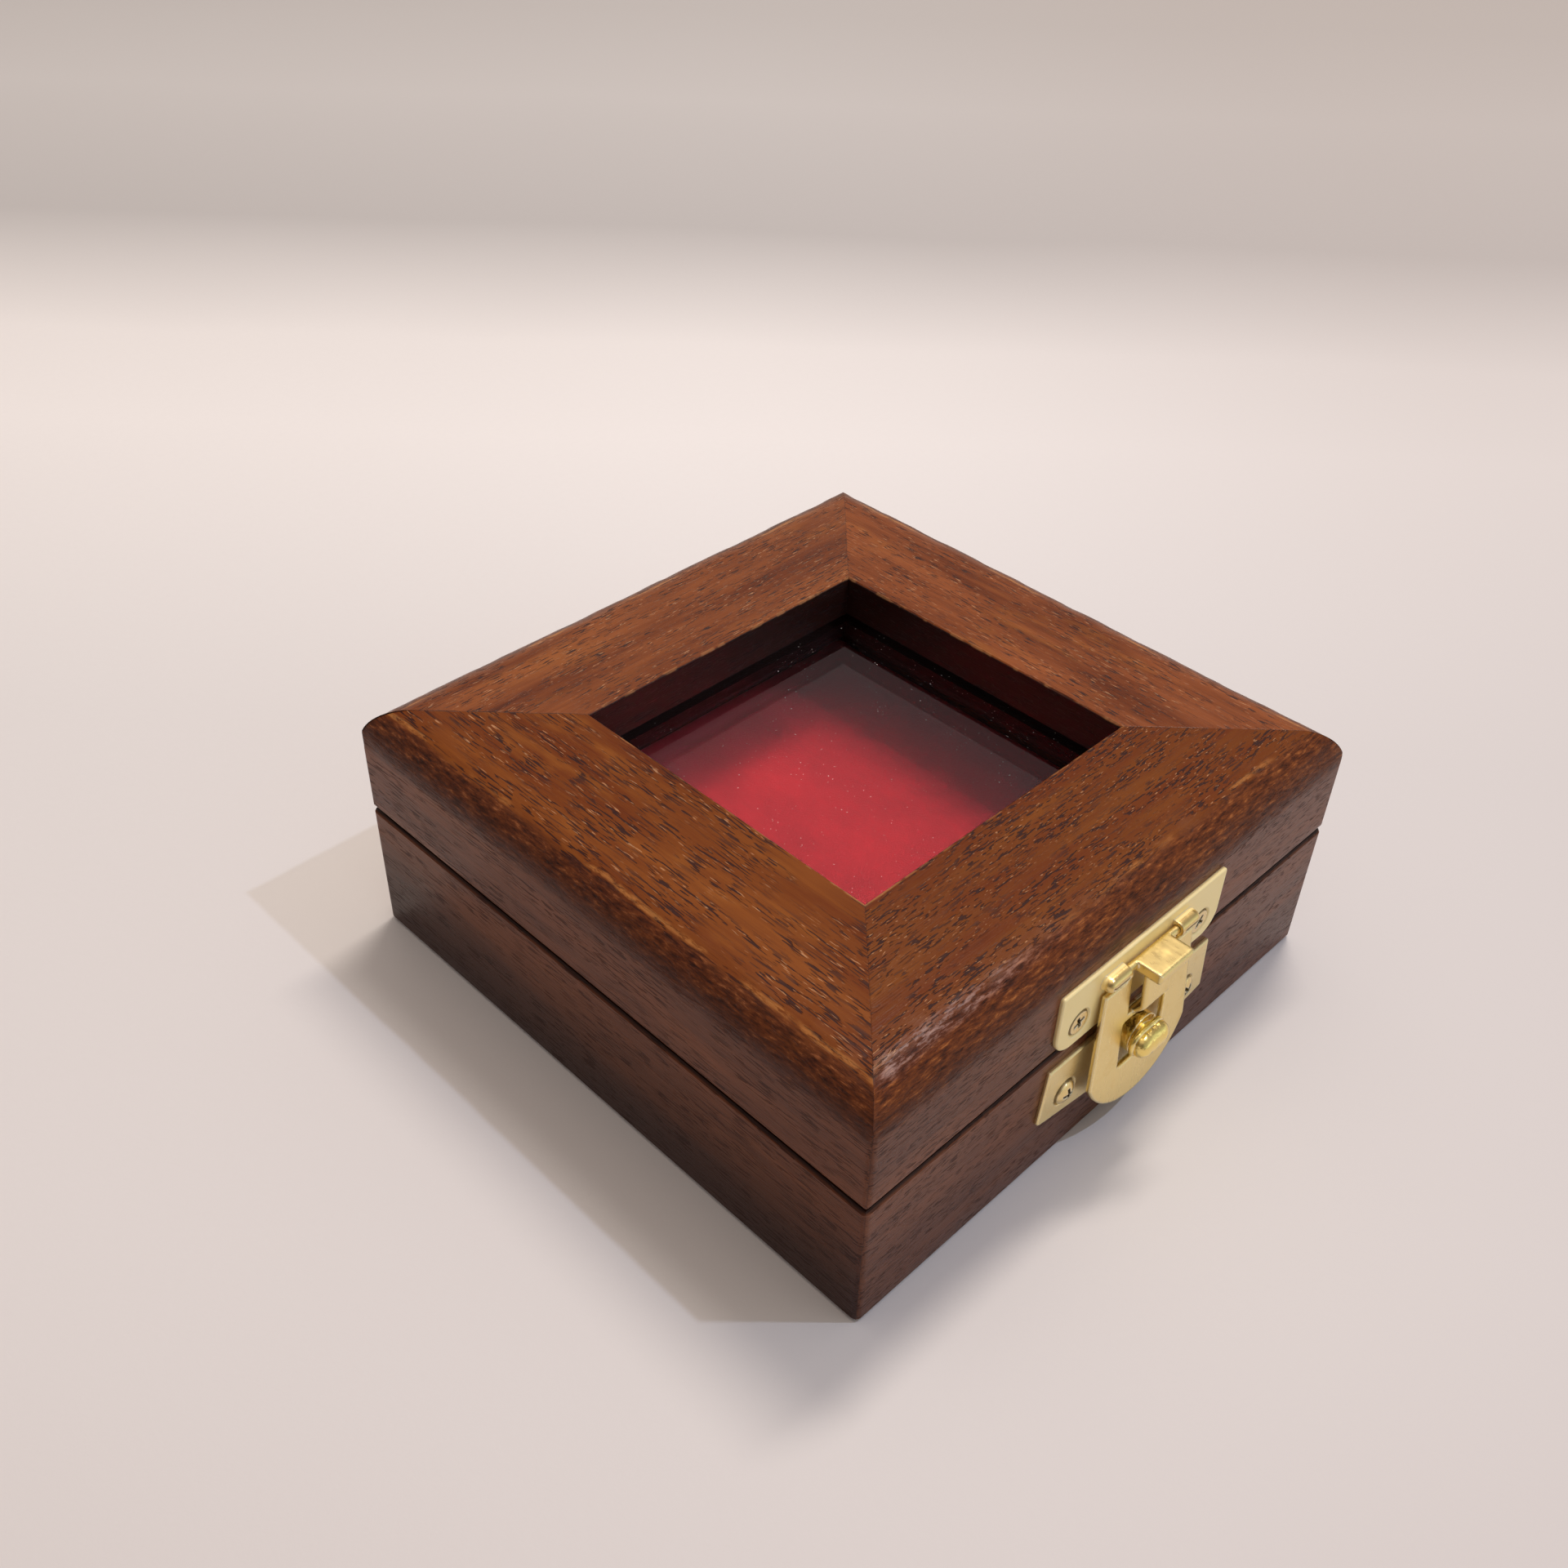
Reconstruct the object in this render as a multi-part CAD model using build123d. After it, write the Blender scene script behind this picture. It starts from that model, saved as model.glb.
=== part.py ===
from build123d import *
import os
from math import cos, radians, tan

# A small square display box of dark hardwood for one coin or medal.
# The latch faces -Y, the hinges are on the +Y face and the box stands on z = 0, centred on the origin.
# All lengths are in millimetres and all angles in degrees.

# Box
box_side = 80.0
corner_round = 0.8
parting_gap = 0.25

# Base
base_height = 17.8
wall_thickness = 6.5
base_top_ease = 0.35
base_foot_ease = 0.6
floor_thickness = 3.0
floor_rebate = 2.5
floor_fit = 0.1

# Pad that the coin lies on
pad_side_clearance = 0.3
pad_board_thickness = 2.4
pad_thickness = 7.6
pad_edge_round = 1.8
pad_corner_round = 2.5

# Lid
lid_height = 14.35
window_side = 42.6
window_lip = 5.4
window_arris = 0.2
top_round = 4.6
lid_bottom_ease = 0.9
glass_rebate = 4.0
glass_thickness = 3.0
glass_fit = 0.15
bead_height = 2.0
bead_fit = 0.1

# Latch plates on the front face
latch_offset = 1.6
plate_thickness = 0.5
plate_arris = 0.15
upper_plate_width = 28.7
upper_plate_height = 8.6
upper_plate_foot = 0.15
upper_plate_foot_round = 2.8
upper_plate_top_round = 0.4
upper_screw_spacing = 21.4
upper_screw_rise = 2.9
lower_plate_drop = 1.8
lower_plate_top_width = 28.6
lower_plate_flare_width = 30.2
lower_plate_side_height = 7.7
lower_plate_waist_width = 11.6
lower_plate_waist_fall = 1.7
lower_plate_belly_fall = 1.7
lower_plate_corner_round = 0.5
lower_screw_spacing = 21.8
lower_screw_drop = 5.3

# Hasp and the two loops of the upper plate that it swings in
pivot_drop = 2.2
pivot_stand_off = 1.1
loop_inner_edge = 4.5
loop_straight = 2.6
loop_wall = 0.4
loop_slot_height = 0.35
loop_slot_end = 0.4
ear_radius = 0.45
ear_fit = 0.05
ear_end_gap = 0.1
hasp_thickness = 0.6
hasp_back_offset = 0.4
hasp_lean = 3.8
hasp_neck_gap = 0.2
hasp_shoulder_width = 15.4
hasp_shoulder_drop = 1.6
hasp_flare_width = 17.2
hasp_flare_drop = 14.7
hasp_length = 20.6
hasp_arris = 0.15
lip_width = 5.8
lip_reach = 3.3
lip_thickness = 1.25
lip_top = 0.45
lip_round = 0.35
tongue_width = 4.6
tongue_rise = 1.3
tongue_knee = 1.5
tongue_flank_round = 0.35
slot_width = 0.8
crossbar_height = 1.0

# Turn knob
knob_drop = 11.8
knob_length = 5.9
knob_height = 3.5
knob_rim_depth = 0.6
knob_rim_round = 0.25
knob_dome_inset = 0.2
knob_dome_depth = 1.4
knob_dome_round = 1.3
knob_swing_gap = 0.15
knob_neck_radius = 1.6
knob_collar_radius = 2.5
knob_collar_depth = 1.6
knob_shank_radius = 1.1
knob_shank_fit = 0.05
knob_tail_radius = 1.7
knob_tail_depth = 0.6
knob_plate_gap = 0.05
knob_pocket_fit = 0.3
opening_side_gap = 0.85
opening_top_gap = 2.2
opening_foot_gap = 1.0
opening_corner = 0.4

# Screws
screw_shank_radius = 0.75
screw_tip_radius = 0.15
screw_fit = 0.03
screw_length = 5.2
screw_point = 1.6
latch_head_radius = 1.8
latch_head_depth = 1.05
raised_head_dome = 0.7
recess_width = 0.45
recess_length = 2.1
recess_depth = 0.5
hinge_screw_length = 4.6
hinge_head_radius = 1.5
hinge_head_depth = 0.8
hinge_recess_length = 1.7

# Hinges on the back face
hinge_inset = 18.0
hinge_width = 16.0
leaf_reach = 7.4
leaf_thickness = 0.7
leaf_corner = 0.6
leaf_gap = 0.2
knuckle_count = 5
knuckle_radius = 1.2
knuckle_gap = 0.15
knuckle_stand_off = 0.15
pin_radius = 0.55
pin_fit = 0.05
hinge_screw_spacing = 9.4

# Places worked out from the sizes above
half_side = box_side / 2
inner_half = half_side - wall_thickness
lid_bottom = base_height + parting_gap
box_top = lid_bottom + lid_height
window_half = window_side / 2
rebate_half = window_half + glass_rebate
glass_top = box_top - window_lip
bead_top = glass_top - glass_thickness
upper_plate_bottom = lid_bottom + upper_plate_foot
upper_plate_top = upper_plate_bottom + upper_plate_height
upper_screw_height = upper_plate_bottom + upper_screw_rise
lower_plate_top = base_height - lower_plate_drop
lower_screw_height = lower_plate_top - lower_screw_drop
pivot_height = upper_plate_top - pivot_drop
knob_axis_height = pivot_height - knob_drop
opening_top_drop = knob_drop - knob_height / 2 - opening_top_gap
opening_foot_drop = knob_drop + knob_height / 2 + opening_foot_gap
hasp_front_offset = hasp_thickness - hasp_back_offset
knob_sweep_foot = knob_drop + knob_length / 2
hasp_front_at_knob = pivot_stand_off + hasp_front_offset + knob_sweep_foot * tan(radians(hasp_lean))
knob_back = hasp_front_at_knob + knob_swing_gap
hinge_axis_height = base_height + parting_gap / 2
hinge_axis_stand_off = knuckle_radius + knuckle_stand_off
leaf_start = knuckle_radius + leaf_gap
leaf_middle = (leaf_start + leaf_reach) / 2

os.makedirs("parts", exist_ok=True)


def write(node, shape):
    """Label one sub-part and write its own STEP file."""
    shape.label = node
    export_step(shape, f"parts/{node}.step")


def group(solids):
    """Identical small pieces that share one node stay separate solids."""
    return Compound(children=list(solids))


def on_front(shape):
    """Stand a shape on the front face at the latch: drawn +Z points outwards and drawn +Y points up."""
    return Pos(latch_offset, -half_side, 0) * Rot(90, 0, 0) * shape


def on_back(shape):
    """Stand a shape on the back face: drawn +Z points outwards, +Y points up and +X points to -X."""
    return Pos(0, half_side, 0) * Rot(0, 0, 180) * Rot(90, 0, 0) * shape


def disc(radius, low, high):
    """Round disc or peg about the Z axis between two levels."""
    return Pos(0, 0, low) * Cylinder(radius, high - low, align=(Align.CENTER, Align.CENTER, Align.MIN))


def block(x_range, y_range, z_range):
    """Plain block between two limits on each axis."""
    low = (x_range[0], y_range[0], z_range[0])
    size = (x_range[1] - x_range[0], y_range[1] - y_range[0], z_range[1] - z_range[0])
    return Pos(*low) * Box(*size, align=(Align.MIN, Align.MIN, Align.MIN))


def rod_along_x(radius, x_range):
    """Round rod along the X axis."""
    length = x_range[1] - x_range[0]
    return Pos((x_range[0] + x_range[1]) / 2, 0, 0) * Rot(0, 90, 0) * Cylinder(radius, length)


# Mitred frames


def quarter_wedge():
    """The quarter of the plan that lies towards -Y, between the two mitre planes."""
    outline = Polyline((0, 0), (-box_side, -box_side), (box_side, -box_side), (0, 0))
    return extrude(make_face(outline), amount=box_side, both=True)


def mitred_side(section, turn):
    """One side of a frame: its section in the YZ plane, run along X, mitred and turned to its place."""
    bar = extrude(Plane.YZ * make_face(section), amount=box_side, both=True)
    corner_post = extrude(RectangleRounded(box_side, box_side, corner_round), amount=box_side)
    return Rot(0, 0, turn) * (bar & quarter_wedge() & corner_post)


def base_wall_section():
    """Base wall, seen end on: eased outer edges and the rebate for the floor panel."""
    outer = -half_side
    inner = -inner_half
    return Polyline(
        (outer, base_foot_ease),
        (outer + base_foot_ease, 0),
        (inner - floor_rebate, 0),
        (inner - floor_rebate, floor_thickness),
        (inner, floor_thickness),
        (inner, base_height),
        (outer + base_top_ease, base_height),
        (outer, base_height - base_top_ease),
        (outer, base_foot_ease),
    )


def lid_rail_section():
    """Lid rail, seen end on: rounded top edge, window lip and the rebate for the glass and its bead."""
    outer = -half_side
    quarter = 1 - cos(radians(45))
    round_top = ThreePointArc(
        (outer + top_round, box_top),
        (outer + quarter * top_round, box_top - quarter * top_round),
        (outer, box_top - top_round),
    )
    round_bottom = ThreePointArc(
        (outer, lid_bottom + lid_bottom_ease),
        (outer + quarter * lid_bottom_ease, lid_bottom + quarter * lid_bottom_ease),
        (outer + lid_bottom_ease, lid_bottom),
    )
    outer_face = Line(round_top @ 1, round_bottom @ 0)
    rebate_and_lip = Polyline(
        round_bottom @ 1,
        (-rebate_half, lid_bottom),
        (-rebate_half, glass_top),
        (-window_half, glass_top),
        (-window_half, box_top - window_arris),
        (-window_half - window_arris, box_top),
        round_top @ 0,
    )
    return Curve() + [round_top, outer_face, round_bottom, rebate_and_lip]


def bead_section():
    """Glazing bead, seen end on: a small square stick flush with the window's edge."""
    outer = -(rebate_half - bead_fit)
    return Polyline(
        (outer, bead_top - bead_height),
        (-window_half, bead_top - bead_height),
        (-window_half, bead_top),
        (outer, bead_top),
        (outer, bead_top - bead_height),
    )


# Screws, drawn upright with the head's rim on z = 0 and the point downwards


def screw_form(head_radius, head_depth, length, fit):
    """Countersunk head, shank and point; with a fit it is the hole that the screw sits in."""
    neck = screw_shank_radius + fit
    half_profile = Polyline(
        (0, 0),
        (head_radius + fit, 0),
        (neck, -head_depth - fit),
        (neck, -length + screw_point),
        (screw_tip_radius + fit, -length - fit),
        (0, -length - fit),
        (0, 0),
    )
    return revolve(Plane.XZ * make_face(half_profile), Axis.Z)


def cross_recess(length, top):
    """Two crossed slots cut down from the top of the head."""
    half = recess_width / 2
    slot = block((-length / 2, length / 2), (-half, half), (top - recess_depth, top + recess_depth))
    return slot + Rot(0, 0, 90) * slot


def head_dome(head_radius):
    """Shallow dome on top of a raised countersunk head."""
    sphere_radius = (head_radius**2 + raised_head_dome**2) / (2 * raised_head_dome)
    ball = Pos(0, 0, raised_head_dome - sphere_radius) * Sphere(sphere_radius)
    return ball & disc(head_radius, 0, raised_head_dome)


def pair_places(spacing, height, stand_off):
    """Places of two screws side by side on one plate."""
    return [Pos(side * spacing / 2, height, stand_off) for side in (-1, 1)]


upper_screw_places = pair_places(upper_screw_spacing, upper_screw_height, plate_thickness)
lower_screw_places = pair_places(lower_screw_spacing, lower_screw_height, plate_thickness)
latch_screw_hole = screw_form(latch_head_radius, latch_head_depth, screw_length, screw_fit)
flat_latch_screw = screw_form(latch_head_radius, latch_head_depth, screw_length, 0)
raised_latch_screw = flat_latch_screw + head_dome(latch_head_radius)
flat_latch_screw -= cross_recess(recess_length, 0)
raised_latch_screw -= cross_recess(recess_length, raised_head_dome)

hinge_screw_hole = screw_form(hinge_head_radius, hinge_head_depth, hinge_screw_length, screw_fit)
hinge_screw = screw_form(hinge_head_radius, hinge_head_depth, hinge_screw_length, 0)
hinge_screw -= cross_recess(hinge_recess_length, 0)


def hinge_screw_places(side):
    """Places of a leaf's two screws, above the hinge axis for side 1 and below it for side -1."""
    return pair_places(hinge_screw_spacing, hinge_axis_height + side * leaf_middle, leaf_thickness)


def all_hinge_screw_places(side):
    """Places of the four screws that hold both hinges to the lid for side 1 or to the base for side -1."""
    centres = hinge_centres.values()
    return [Pos(centre, 0, 0) * place for centre in centres for place in hinge_screw_places(side)]


hinge_centres = {"left": half_side - hinge_inset, "right": hinge_inset - half_side}
lid_hinge_screw_places = all_hinge_screw_places(1)
base_hinge_screw_places = all_hinge_screw_places(-1)

# Base: four mitred walls, the floor, the pad's board and the velvet pad

side_turns = {side: index * 90 for index, side in enumerate(("front", "right", "back", "left"))}
base_walls = {side: mitred_side(base_wall_section(), turn) for side, turn in side_turns.items()}
knob_pocket_radius = knob_tail_radius + knob_pocket_fit
knob_pocket_depth = knob_tail_depth + knob_pocket_fit
knob_pocket = Pos(0, knob_axis_height, 0) * disc(knob_pocket_radius, -knob_pocket_depth, 1)
base_walls["front"] -= on_front(knob_pocket)
for place in lower_screw_places:
    base_walls["front"] -= on_front(place * latch_screw_hole)
for place in base_hinge_screw_places:
    base_walls["back"] -= on_back(place * hinge_screw_hole)
for side, wall in base_walls.items():
    write(f"base_wall_{side}", wall)

floor_side = 2 * (inner_half + floor_rebate - floor_fit)
write("floor_panel", extrude(Rectangle(floor_side, floor_side), amount=floor_thickness))

pad_side = 2 * (inner_half - pad_side_clearance)
pad_plan = RectangleRounded(pad_side, pad_side, pad_corner_round)
write("pad_board", Pos(0, 0, floor_thickness) * extrude(pad_plan, amount=pad_board_thickness))

pad = extrude(pad_plan, amount=pad_thickness)
pad = fillet(pad.faces().sort_by(Axis.Z)[-1].edges(), pad_edge_round)
write("velvet_pad", Pos(0, 0, floor_thickness + pad_board_thickness) * pad)

# Lid: four mitred rails, the glass and its four beads

lid_rails = {side: mitred_side(lid_rail_section(), turn) for side, turn in side_turns.items()}
for place in upper_screw_places:
    lid_rails["front"] -= on_front(place * latch_screw_hole)
for place in lid_hinge_screw_places:
    lid_rails["back"] -= on_back(place * hinge_screw_hole)
for side, rail in lid_rails.items():
    write(f"lid_rail_{side}", rail)

glass_side = 2 * (rebate_half - glass_fit)
glass = extrude(Rectangle(glass_side, glass_side), amount=glass_thickness)
write("glass_pane", Pos(0, 0, bead_top) * glass)
for side, turn in side_turns.items():
    write(f"glazing_bead_{side}", mitred_side(bead_section(), turn))

# Latch


def pressed_sheet(outline, thickness, arris):
    """Flat sheet with its outer face's edges softened."""
    sheet = extrude(outline, amount=thickness)
    return chamfer(sheet.faces().sort_by(Axis.Z)[-1].edges(), arris)


def loop_form(radius, end, foot):
    """Capsule along X with one domed end, joined to the plate by a leg of the same width."""
    barrel = rod_along_x(radius, (0, end)) + Pos(end, 0, 0) * Sphere(radius)
    leg = block((0, end), (-radius, radius), (foot, 0)) + Pos(end, 0, 0) * disc(radius, foot, 0)
    return barrel + leg


def loop():
    """Bridge pressed out of the upper plate round one ear, closed at its outer end and slotted in front."""
    bore = ear_radius + ear_fit
    shell = bore + loop_wall
    bridge = loop_form(shell, loop_straight, plate_thickness - pivot_stand_off)
    bridge -= rod_along_x(bore, (-1, loop_straight + ear_end_gap))
    slot_span = (loop_slot_end, loop_straight + loop_slot_end)
    return bridge - block(slot_span, (-loop_slot_height / 2, loop_slot_height / 2), (0, 2 * shell))


upper_plate_middle = (upper_plate_bottom + upper_plate_top) / 2
upper_outline = Rectangle(upper_plate_width, upper_plate_height)
foot_corners = upper_outline.vertices().group_by(Axis.Y)[0]
upper_outline = fillet(foot_corners, upper_plate_foot_round)
top_corners = upper_outline.vertices().group_by(Axis.Y)[-1]
upper_outline = fillet(top_corners, upper_plate_top_round)
upper_plate = Pos(0, upper_plate_middle, 0) * pressed_sheet(upper_outline, plate_thickness, plate_arris)
right_loop = Pos(loop_inner_edge, pivot_height, pivot_stand_off) * loop()
upper_plate = upper_plate + right_loop + mirror(right_loop, about=Plane.YZ)
for place in upper_screw_places:
    upper_plate -= place * latch_screw_hole
write("latch_plate_upper", on_front(upper_plate))
write("upper_plate_screws", group(on_front(place * flat_latch_screw) for place in upper_screw_places))


def lower_plate_outline():
    """Plate with flared sides and a belly that falls towards the middle."""
    flare = lower_plate_flare_width / 2
    waist = lower_plate_waist_width / 2
    corner_height = -lower_plate_side_height
    waist_height = corner_height - lower_plate_waist_fall
    belly_height = waist_height - lower_plate_belly_fall
    belly = ThreePointArc((-waist, waist_height), (0, belly_height), (waist, waist_height))
    upper_edges = Polyline(
        belly @ 1,
        (flare, corner_height),
        (lower_plate_top_width / 2, 0),
        (-lower_plate_top_width / 2, 0),
        (-flare, corner_height),
        belly @ 0,
    )
    outline = make_face(Curve() + [belly, upper_edges])
    outer_corners = outline.vertices().sort_by(Axis.X)
    return fillet([outer_corners[0], outer_corners[-1]], lower_plate_corner_round)


lower_plate = pressed_sheet(lower_plate_outline(), plate_thickness, plate_arris)
lower_plate = Pos(0, lower_plate_top, 0) * lower_plate
lower_plate -= Pos(0, knob_axis_height, 0) * disc(knob_shank_radius + knob_shank_fit, -1, 1)
for place in lower_screw_places:
    lower_plate -= place * latch_screw_hole
write("latch_plate_lower", on_front(lower_plate))
write("lower_plate_screws", group(on_front(place * raised_latch_screw) for place in lower_screw_places))


def hasp_sheet():
    """Hasp's flat sheet hanging from the pivot, with the knob's opening and the slots beside the tongue."""
    neck = loop_inner_edge - hasp_neck_gap
    shoulder = hasp_shoulder_width / 2
    flare = hasp_flare_width / 2
    foot = ThreePointArc((-flare, -hasp_flare_drop), (0, -hasp_length), (flare, -hasp_flare_drop))
    sides = Polyline(
        foot @ 1,
        (shoulder, -hasp_shoulder_drop),
        (neck, -hasp_shoulder_drop),
        (neck, 0),
        (-neck, 0),
        (-neck, -hasp_shoulder_drop),
        (-shoulder, -hasp_shoulder_drop),
        foot @ 0,
    )
    opening_width = knob_length + 2 * opening_side_gap
    opening = RectangleRounded(opening_width, opening_foot_drop - opening_top_drop, opening_corner)
    opening = Pos(0, -(opening_foot_drop + opening_top_drop) / 2) * opening
    slots_foot = opening_top_drop - crossbar_height
    slots = Pos(0, -slots_foot / 2) * Rectangle(tongue_width + 2 * slot_width, slots_foot)
    outline = make_face(Curve() + [foot, sides]) - opening - slots
    return Pos(0, 0, -hasp_back_offset) * pressed_sheet(outline, hasp_thickness, hasp_arris)


def hasp_lip():
    """Thick finger lip that stands straight out at the pivot's height."""
    half = lip_width / 2
    lip = block((-half, half), (lip_top - lip_thickness, lip_top), (0, lip_reach))
    return fillet(lip.faces().sort_by(Axis.Z)[-1].edges(), lip_round)


def hasp_tongue():
    """Strip pressed proud of the sheet: it leaves the crossbar, turns up and meets the lip from below."""
    lean = tan(radians(hasp_lean))
    root_drop = opening_top_drop - crossbar_height / 2
    root_front = hasp_front_offset + root_drop * lean
    knee_drop = root_drop - tongue_knee
    knee_front = hasp_front_offset + tongue_rise + knee_drop * lean
    top_front = hasp_front_offset + tongue_rise
    side_view = Polyline(
        (-root_drop, root_front),
        (-root_drop, root_front - hasp_thickness),
        (-knee_drop, knee_front - hasp_thickness),
        (0, top_front - hasp_thickness),
        (0, top_front),
        (-knee_drop, knee_front),
        (-root_drop, root_front),
    )
    half = tongue_width / 2
    strip = Pos(-half, 0, 0) * extrude(Plane.YZ * make_face(side_view), amount=tongue_width)
    front = strip.faces().filter_by(lambda face: face.normal_at().Z > 0.9)
    flanks = front.edges().filter_by(lambda edge: abs(abs(edge.center().X) - half) < 0.01)
    return fillet(flanks, tongue_flank_round)


ear_end = loop_inner_edge + loop_straight
hasp = Rot(-hasp_lean, 0, 0) * hasp_sheet()
hasp = hasp + rod_along_x(ear_radius, (-ear_end, ear_end)) + hasp_lip() + hasp_tongue()
write("hasp", on_front(Pos(0, pivot_height, pivot_stand_off) * hasp))


def turn_knob():
    """Oblong domed knob on a collar, riveted through the lower plate and lying level when unlocked."""
    rim = extrude(SlotOverall(knob_length, knob_height), amount=knob_rim_depth)
    rim = fillet(rim.faces().sort_by(Axis.Z)[-1].edges(), knob_rim_round)
    rim = fillet(rim.faces().sort_by(Axis.Z)[0].edges(), knob_rim_round)
    dome_outline = SlotOverall(knob_length - 2 * knob_dome_inset, knob_height - 2 * knob_dome_inset)
    dome = extrude(dome_outline, amount=knob_rim_depth + knob_dome_depth)
    dome = fillet(dome.faces().sort_by(Axis.Z)[-1].edges(), knob_dome_round)
    head = rim + dome
    collar_back = plate_thickness + knob_plate_gap
    collar = disc(knob_collar_radius, collar_back, collar_back + knob_collar_depth)
    neck = disc(knob_neck_radius, collar_back, knob_back + knob_rim_depth)
    shank = disc(knob_shank_radius, -knob_plate_gap, collar_back)
    tail = disc(knob_tail_radius, -knob_plate_gap - knob_tail_depth, -knob_plate_gap)
    return Pos(0, 0, knob_back) * head + neck + collar + shank + tail


write("turn_knob", on_front(Pos(0, knob_axis_height, 0) * turn_knob()))

# Hinges


def hinge_leaf(side):
    """Leaf of one hinge, above its axis for side 1 and below it for side -1, with its knuckles."""
    plate_middle = side * (leaf_start + leaf_reach) / 2
    outline = RectangleRounded(hinge_width, leaf_reach - leaf_start, leaf_corner)
    leaf = Pos(0, plate_middle, -hinge_axis_stand_off) * extrude(outline, amount=leaf_thickness)
    leaf_back = -hinge_axis_stand_off
    leaf_front = leaf_back + leaf_thickness
    pitch = (hinge_width + knuckle_gap) / knuckle_count
    first = 1 if side > 0 else 0
    for index in range(first, knuckle_count, 2):
        left = -hinge_width / 2 + index * pitch
        span = (left, left + pitch - knuckle_gap)
        reach = sorted((0, side * (leaf_start + leaf_corner)))
        leaf += block(span, reach, (leaf_back, leaf_front)) + rod_along_x(knuckle_radius, span)
    leaf -= rod_along_x(pin_radius + pin_fit, (-hinge_width, hinge_width))
    leaf = Pos(0, hinge_axis_height, hinge_axis_stand_off) * leaf
    for place in hinge_screw_places(side):
        leaf -= place * hinge_screw_hole
    return leaf


pin = rod_along_x(pin_radius, (-hinge_width / 2, hinge_width / 2))
pin = Pos(0, hinge_axis_height, hinge_axis_stand_off) * pin
for name, centre in hinge_centres.items():
    write(f"hinge_lid_leaf_{name}", on_back(Pos(centre, 0, 0) * hinge_leaf(1)))
    write(f"hinge_base_leaf_{name}", on_back(Pos(centre, 0, 0) * hinge_leaf(-1)))
    write(f"hinge_pin_{name}", on_back(Pos(centre, 0, 0) * pin))
write("hinge_lid_screws", group(on_back(place * hinge_screw) for place in lid_hinge_screw_places))
write("hinge_base_screws", group(on_back(place * hinge_screw) for place in base_hinge_screw_places))
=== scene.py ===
# %% [markdown]
# # A small hardwood display box for one coin
#
# The box is 80 mm square. Its lid is a mitred frame round a sunk pane of glass, and a brass hasp and turn
# knob hold it shut. Below the glass lies a red velvet pad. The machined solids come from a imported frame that
# already has every piece in its place. This lesson dresses those solids, and builds again what a solid can't
# show well: the worn wooden frames, the screws with their crosses, and the soft pad.

from math import asin, cos, pi, radians, sin, sqrt

import bmesh
import bpy
from mathutils import Matrix, Vector


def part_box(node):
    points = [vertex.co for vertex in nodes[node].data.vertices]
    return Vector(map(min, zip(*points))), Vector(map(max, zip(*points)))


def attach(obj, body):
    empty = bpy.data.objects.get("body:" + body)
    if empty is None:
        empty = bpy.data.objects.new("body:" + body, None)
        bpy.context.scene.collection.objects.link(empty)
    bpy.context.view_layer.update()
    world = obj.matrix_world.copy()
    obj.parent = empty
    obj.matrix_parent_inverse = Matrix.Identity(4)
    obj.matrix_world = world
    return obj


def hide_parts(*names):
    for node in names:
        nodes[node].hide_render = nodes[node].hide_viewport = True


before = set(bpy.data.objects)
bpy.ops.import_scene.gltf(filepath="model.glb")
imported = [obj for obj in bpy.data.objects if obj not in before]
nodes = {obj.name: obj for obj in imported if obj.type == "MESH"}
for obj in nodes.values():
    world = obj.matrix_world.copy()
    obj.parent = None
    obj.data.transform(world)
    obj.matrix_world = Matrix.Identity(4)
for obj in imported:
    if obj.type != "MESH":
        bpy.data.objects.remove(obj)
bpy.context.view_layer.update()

MM = 0.001
scene = bpy.context.scene
scene.view_settings.view_transform = "Standard"


def linked(name, data):
    """A new object, linked into the scene."""
    made = bpy.data.objects.new(name, data)
    scene.collection.objects.link(made)
    return made


# %% Read the driving sizes off the frame, in mm from the middle of the box and up from the table
def box_mm(node):
    """Low and high corner of a CAD node's box, in mm."""
    return [[round(part / MM, 3) for part in corner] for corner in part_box(node)]


rail_low, rail_high = box_mm("lid_rail_front")
_, wall_high = box_mm("base_wall_front")
_, glass_high = box_mm("glass_pane")
_, floor_high = box_mm("floor_panel")
pad_low, pad_high = box_mm("velvet_pad")
BOX_HALF = -rail_low[1]
BOX_TOP = rail_high[2]
LID_FOOT = rail_low[2]
BASE_TOP = wall_high[2]
WINDOW_HALF = -rail_high[1]
INNER_HALF = -wall_high[1]
GLASS_TOP = glass_high[2]
FLOOR_TOP = floor_high[2]
PAD_HALF = pad_high[0]
PAD_FOOT = pad_low[2]
PAD_TOP = pad_high[2]
print("box", 2 * BOX_HALF, "by", BOX_TOP, "window", 2 * WINDOW_HALF, "pad", PAD_FOOT, "to", PAD_TOP)

# %% [markdown]
# ## The camera
#
# The place, the lens and the slight roll of the camera were worked out from ten corners of the box. Blender
# stores a camera's directions as the columns of a matrix: right, up and backwards.

# %% Stand the camera where the photographer stood
CAMERA_PLACE = Vector((-111.92, -97.17, 143.56)) * MM
CAMERA_LENS = 37.476
CAMERA_AZIMUTH = radians(45.99)
CAMERA_PITCH = radians(39.23)
CAMERA_ROLL = radians(1.89)

look = Vector((
    sin(CAMERA_AZIMUTH) * cos(CAMERA_PITCH),
    cos(CAMERA_AZIMUTH) * cos(CAMERA_PITCH),
    -sin(CAMERA_PITCH),
))
level_right = Vector((cos(CAMERA_AZIMUTH), -sin(CAMERA_AZIMUTH), 0))
level_down = look.cross(level_right)
camera_right = cos(CAMERA_ROLL) * level_right - sin(CAMERA_ROLL) * level_down
camera_down = sin(CAMERA_ROLL) * level_right + cos(CAMERA_ROLL) * level_down

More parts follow.
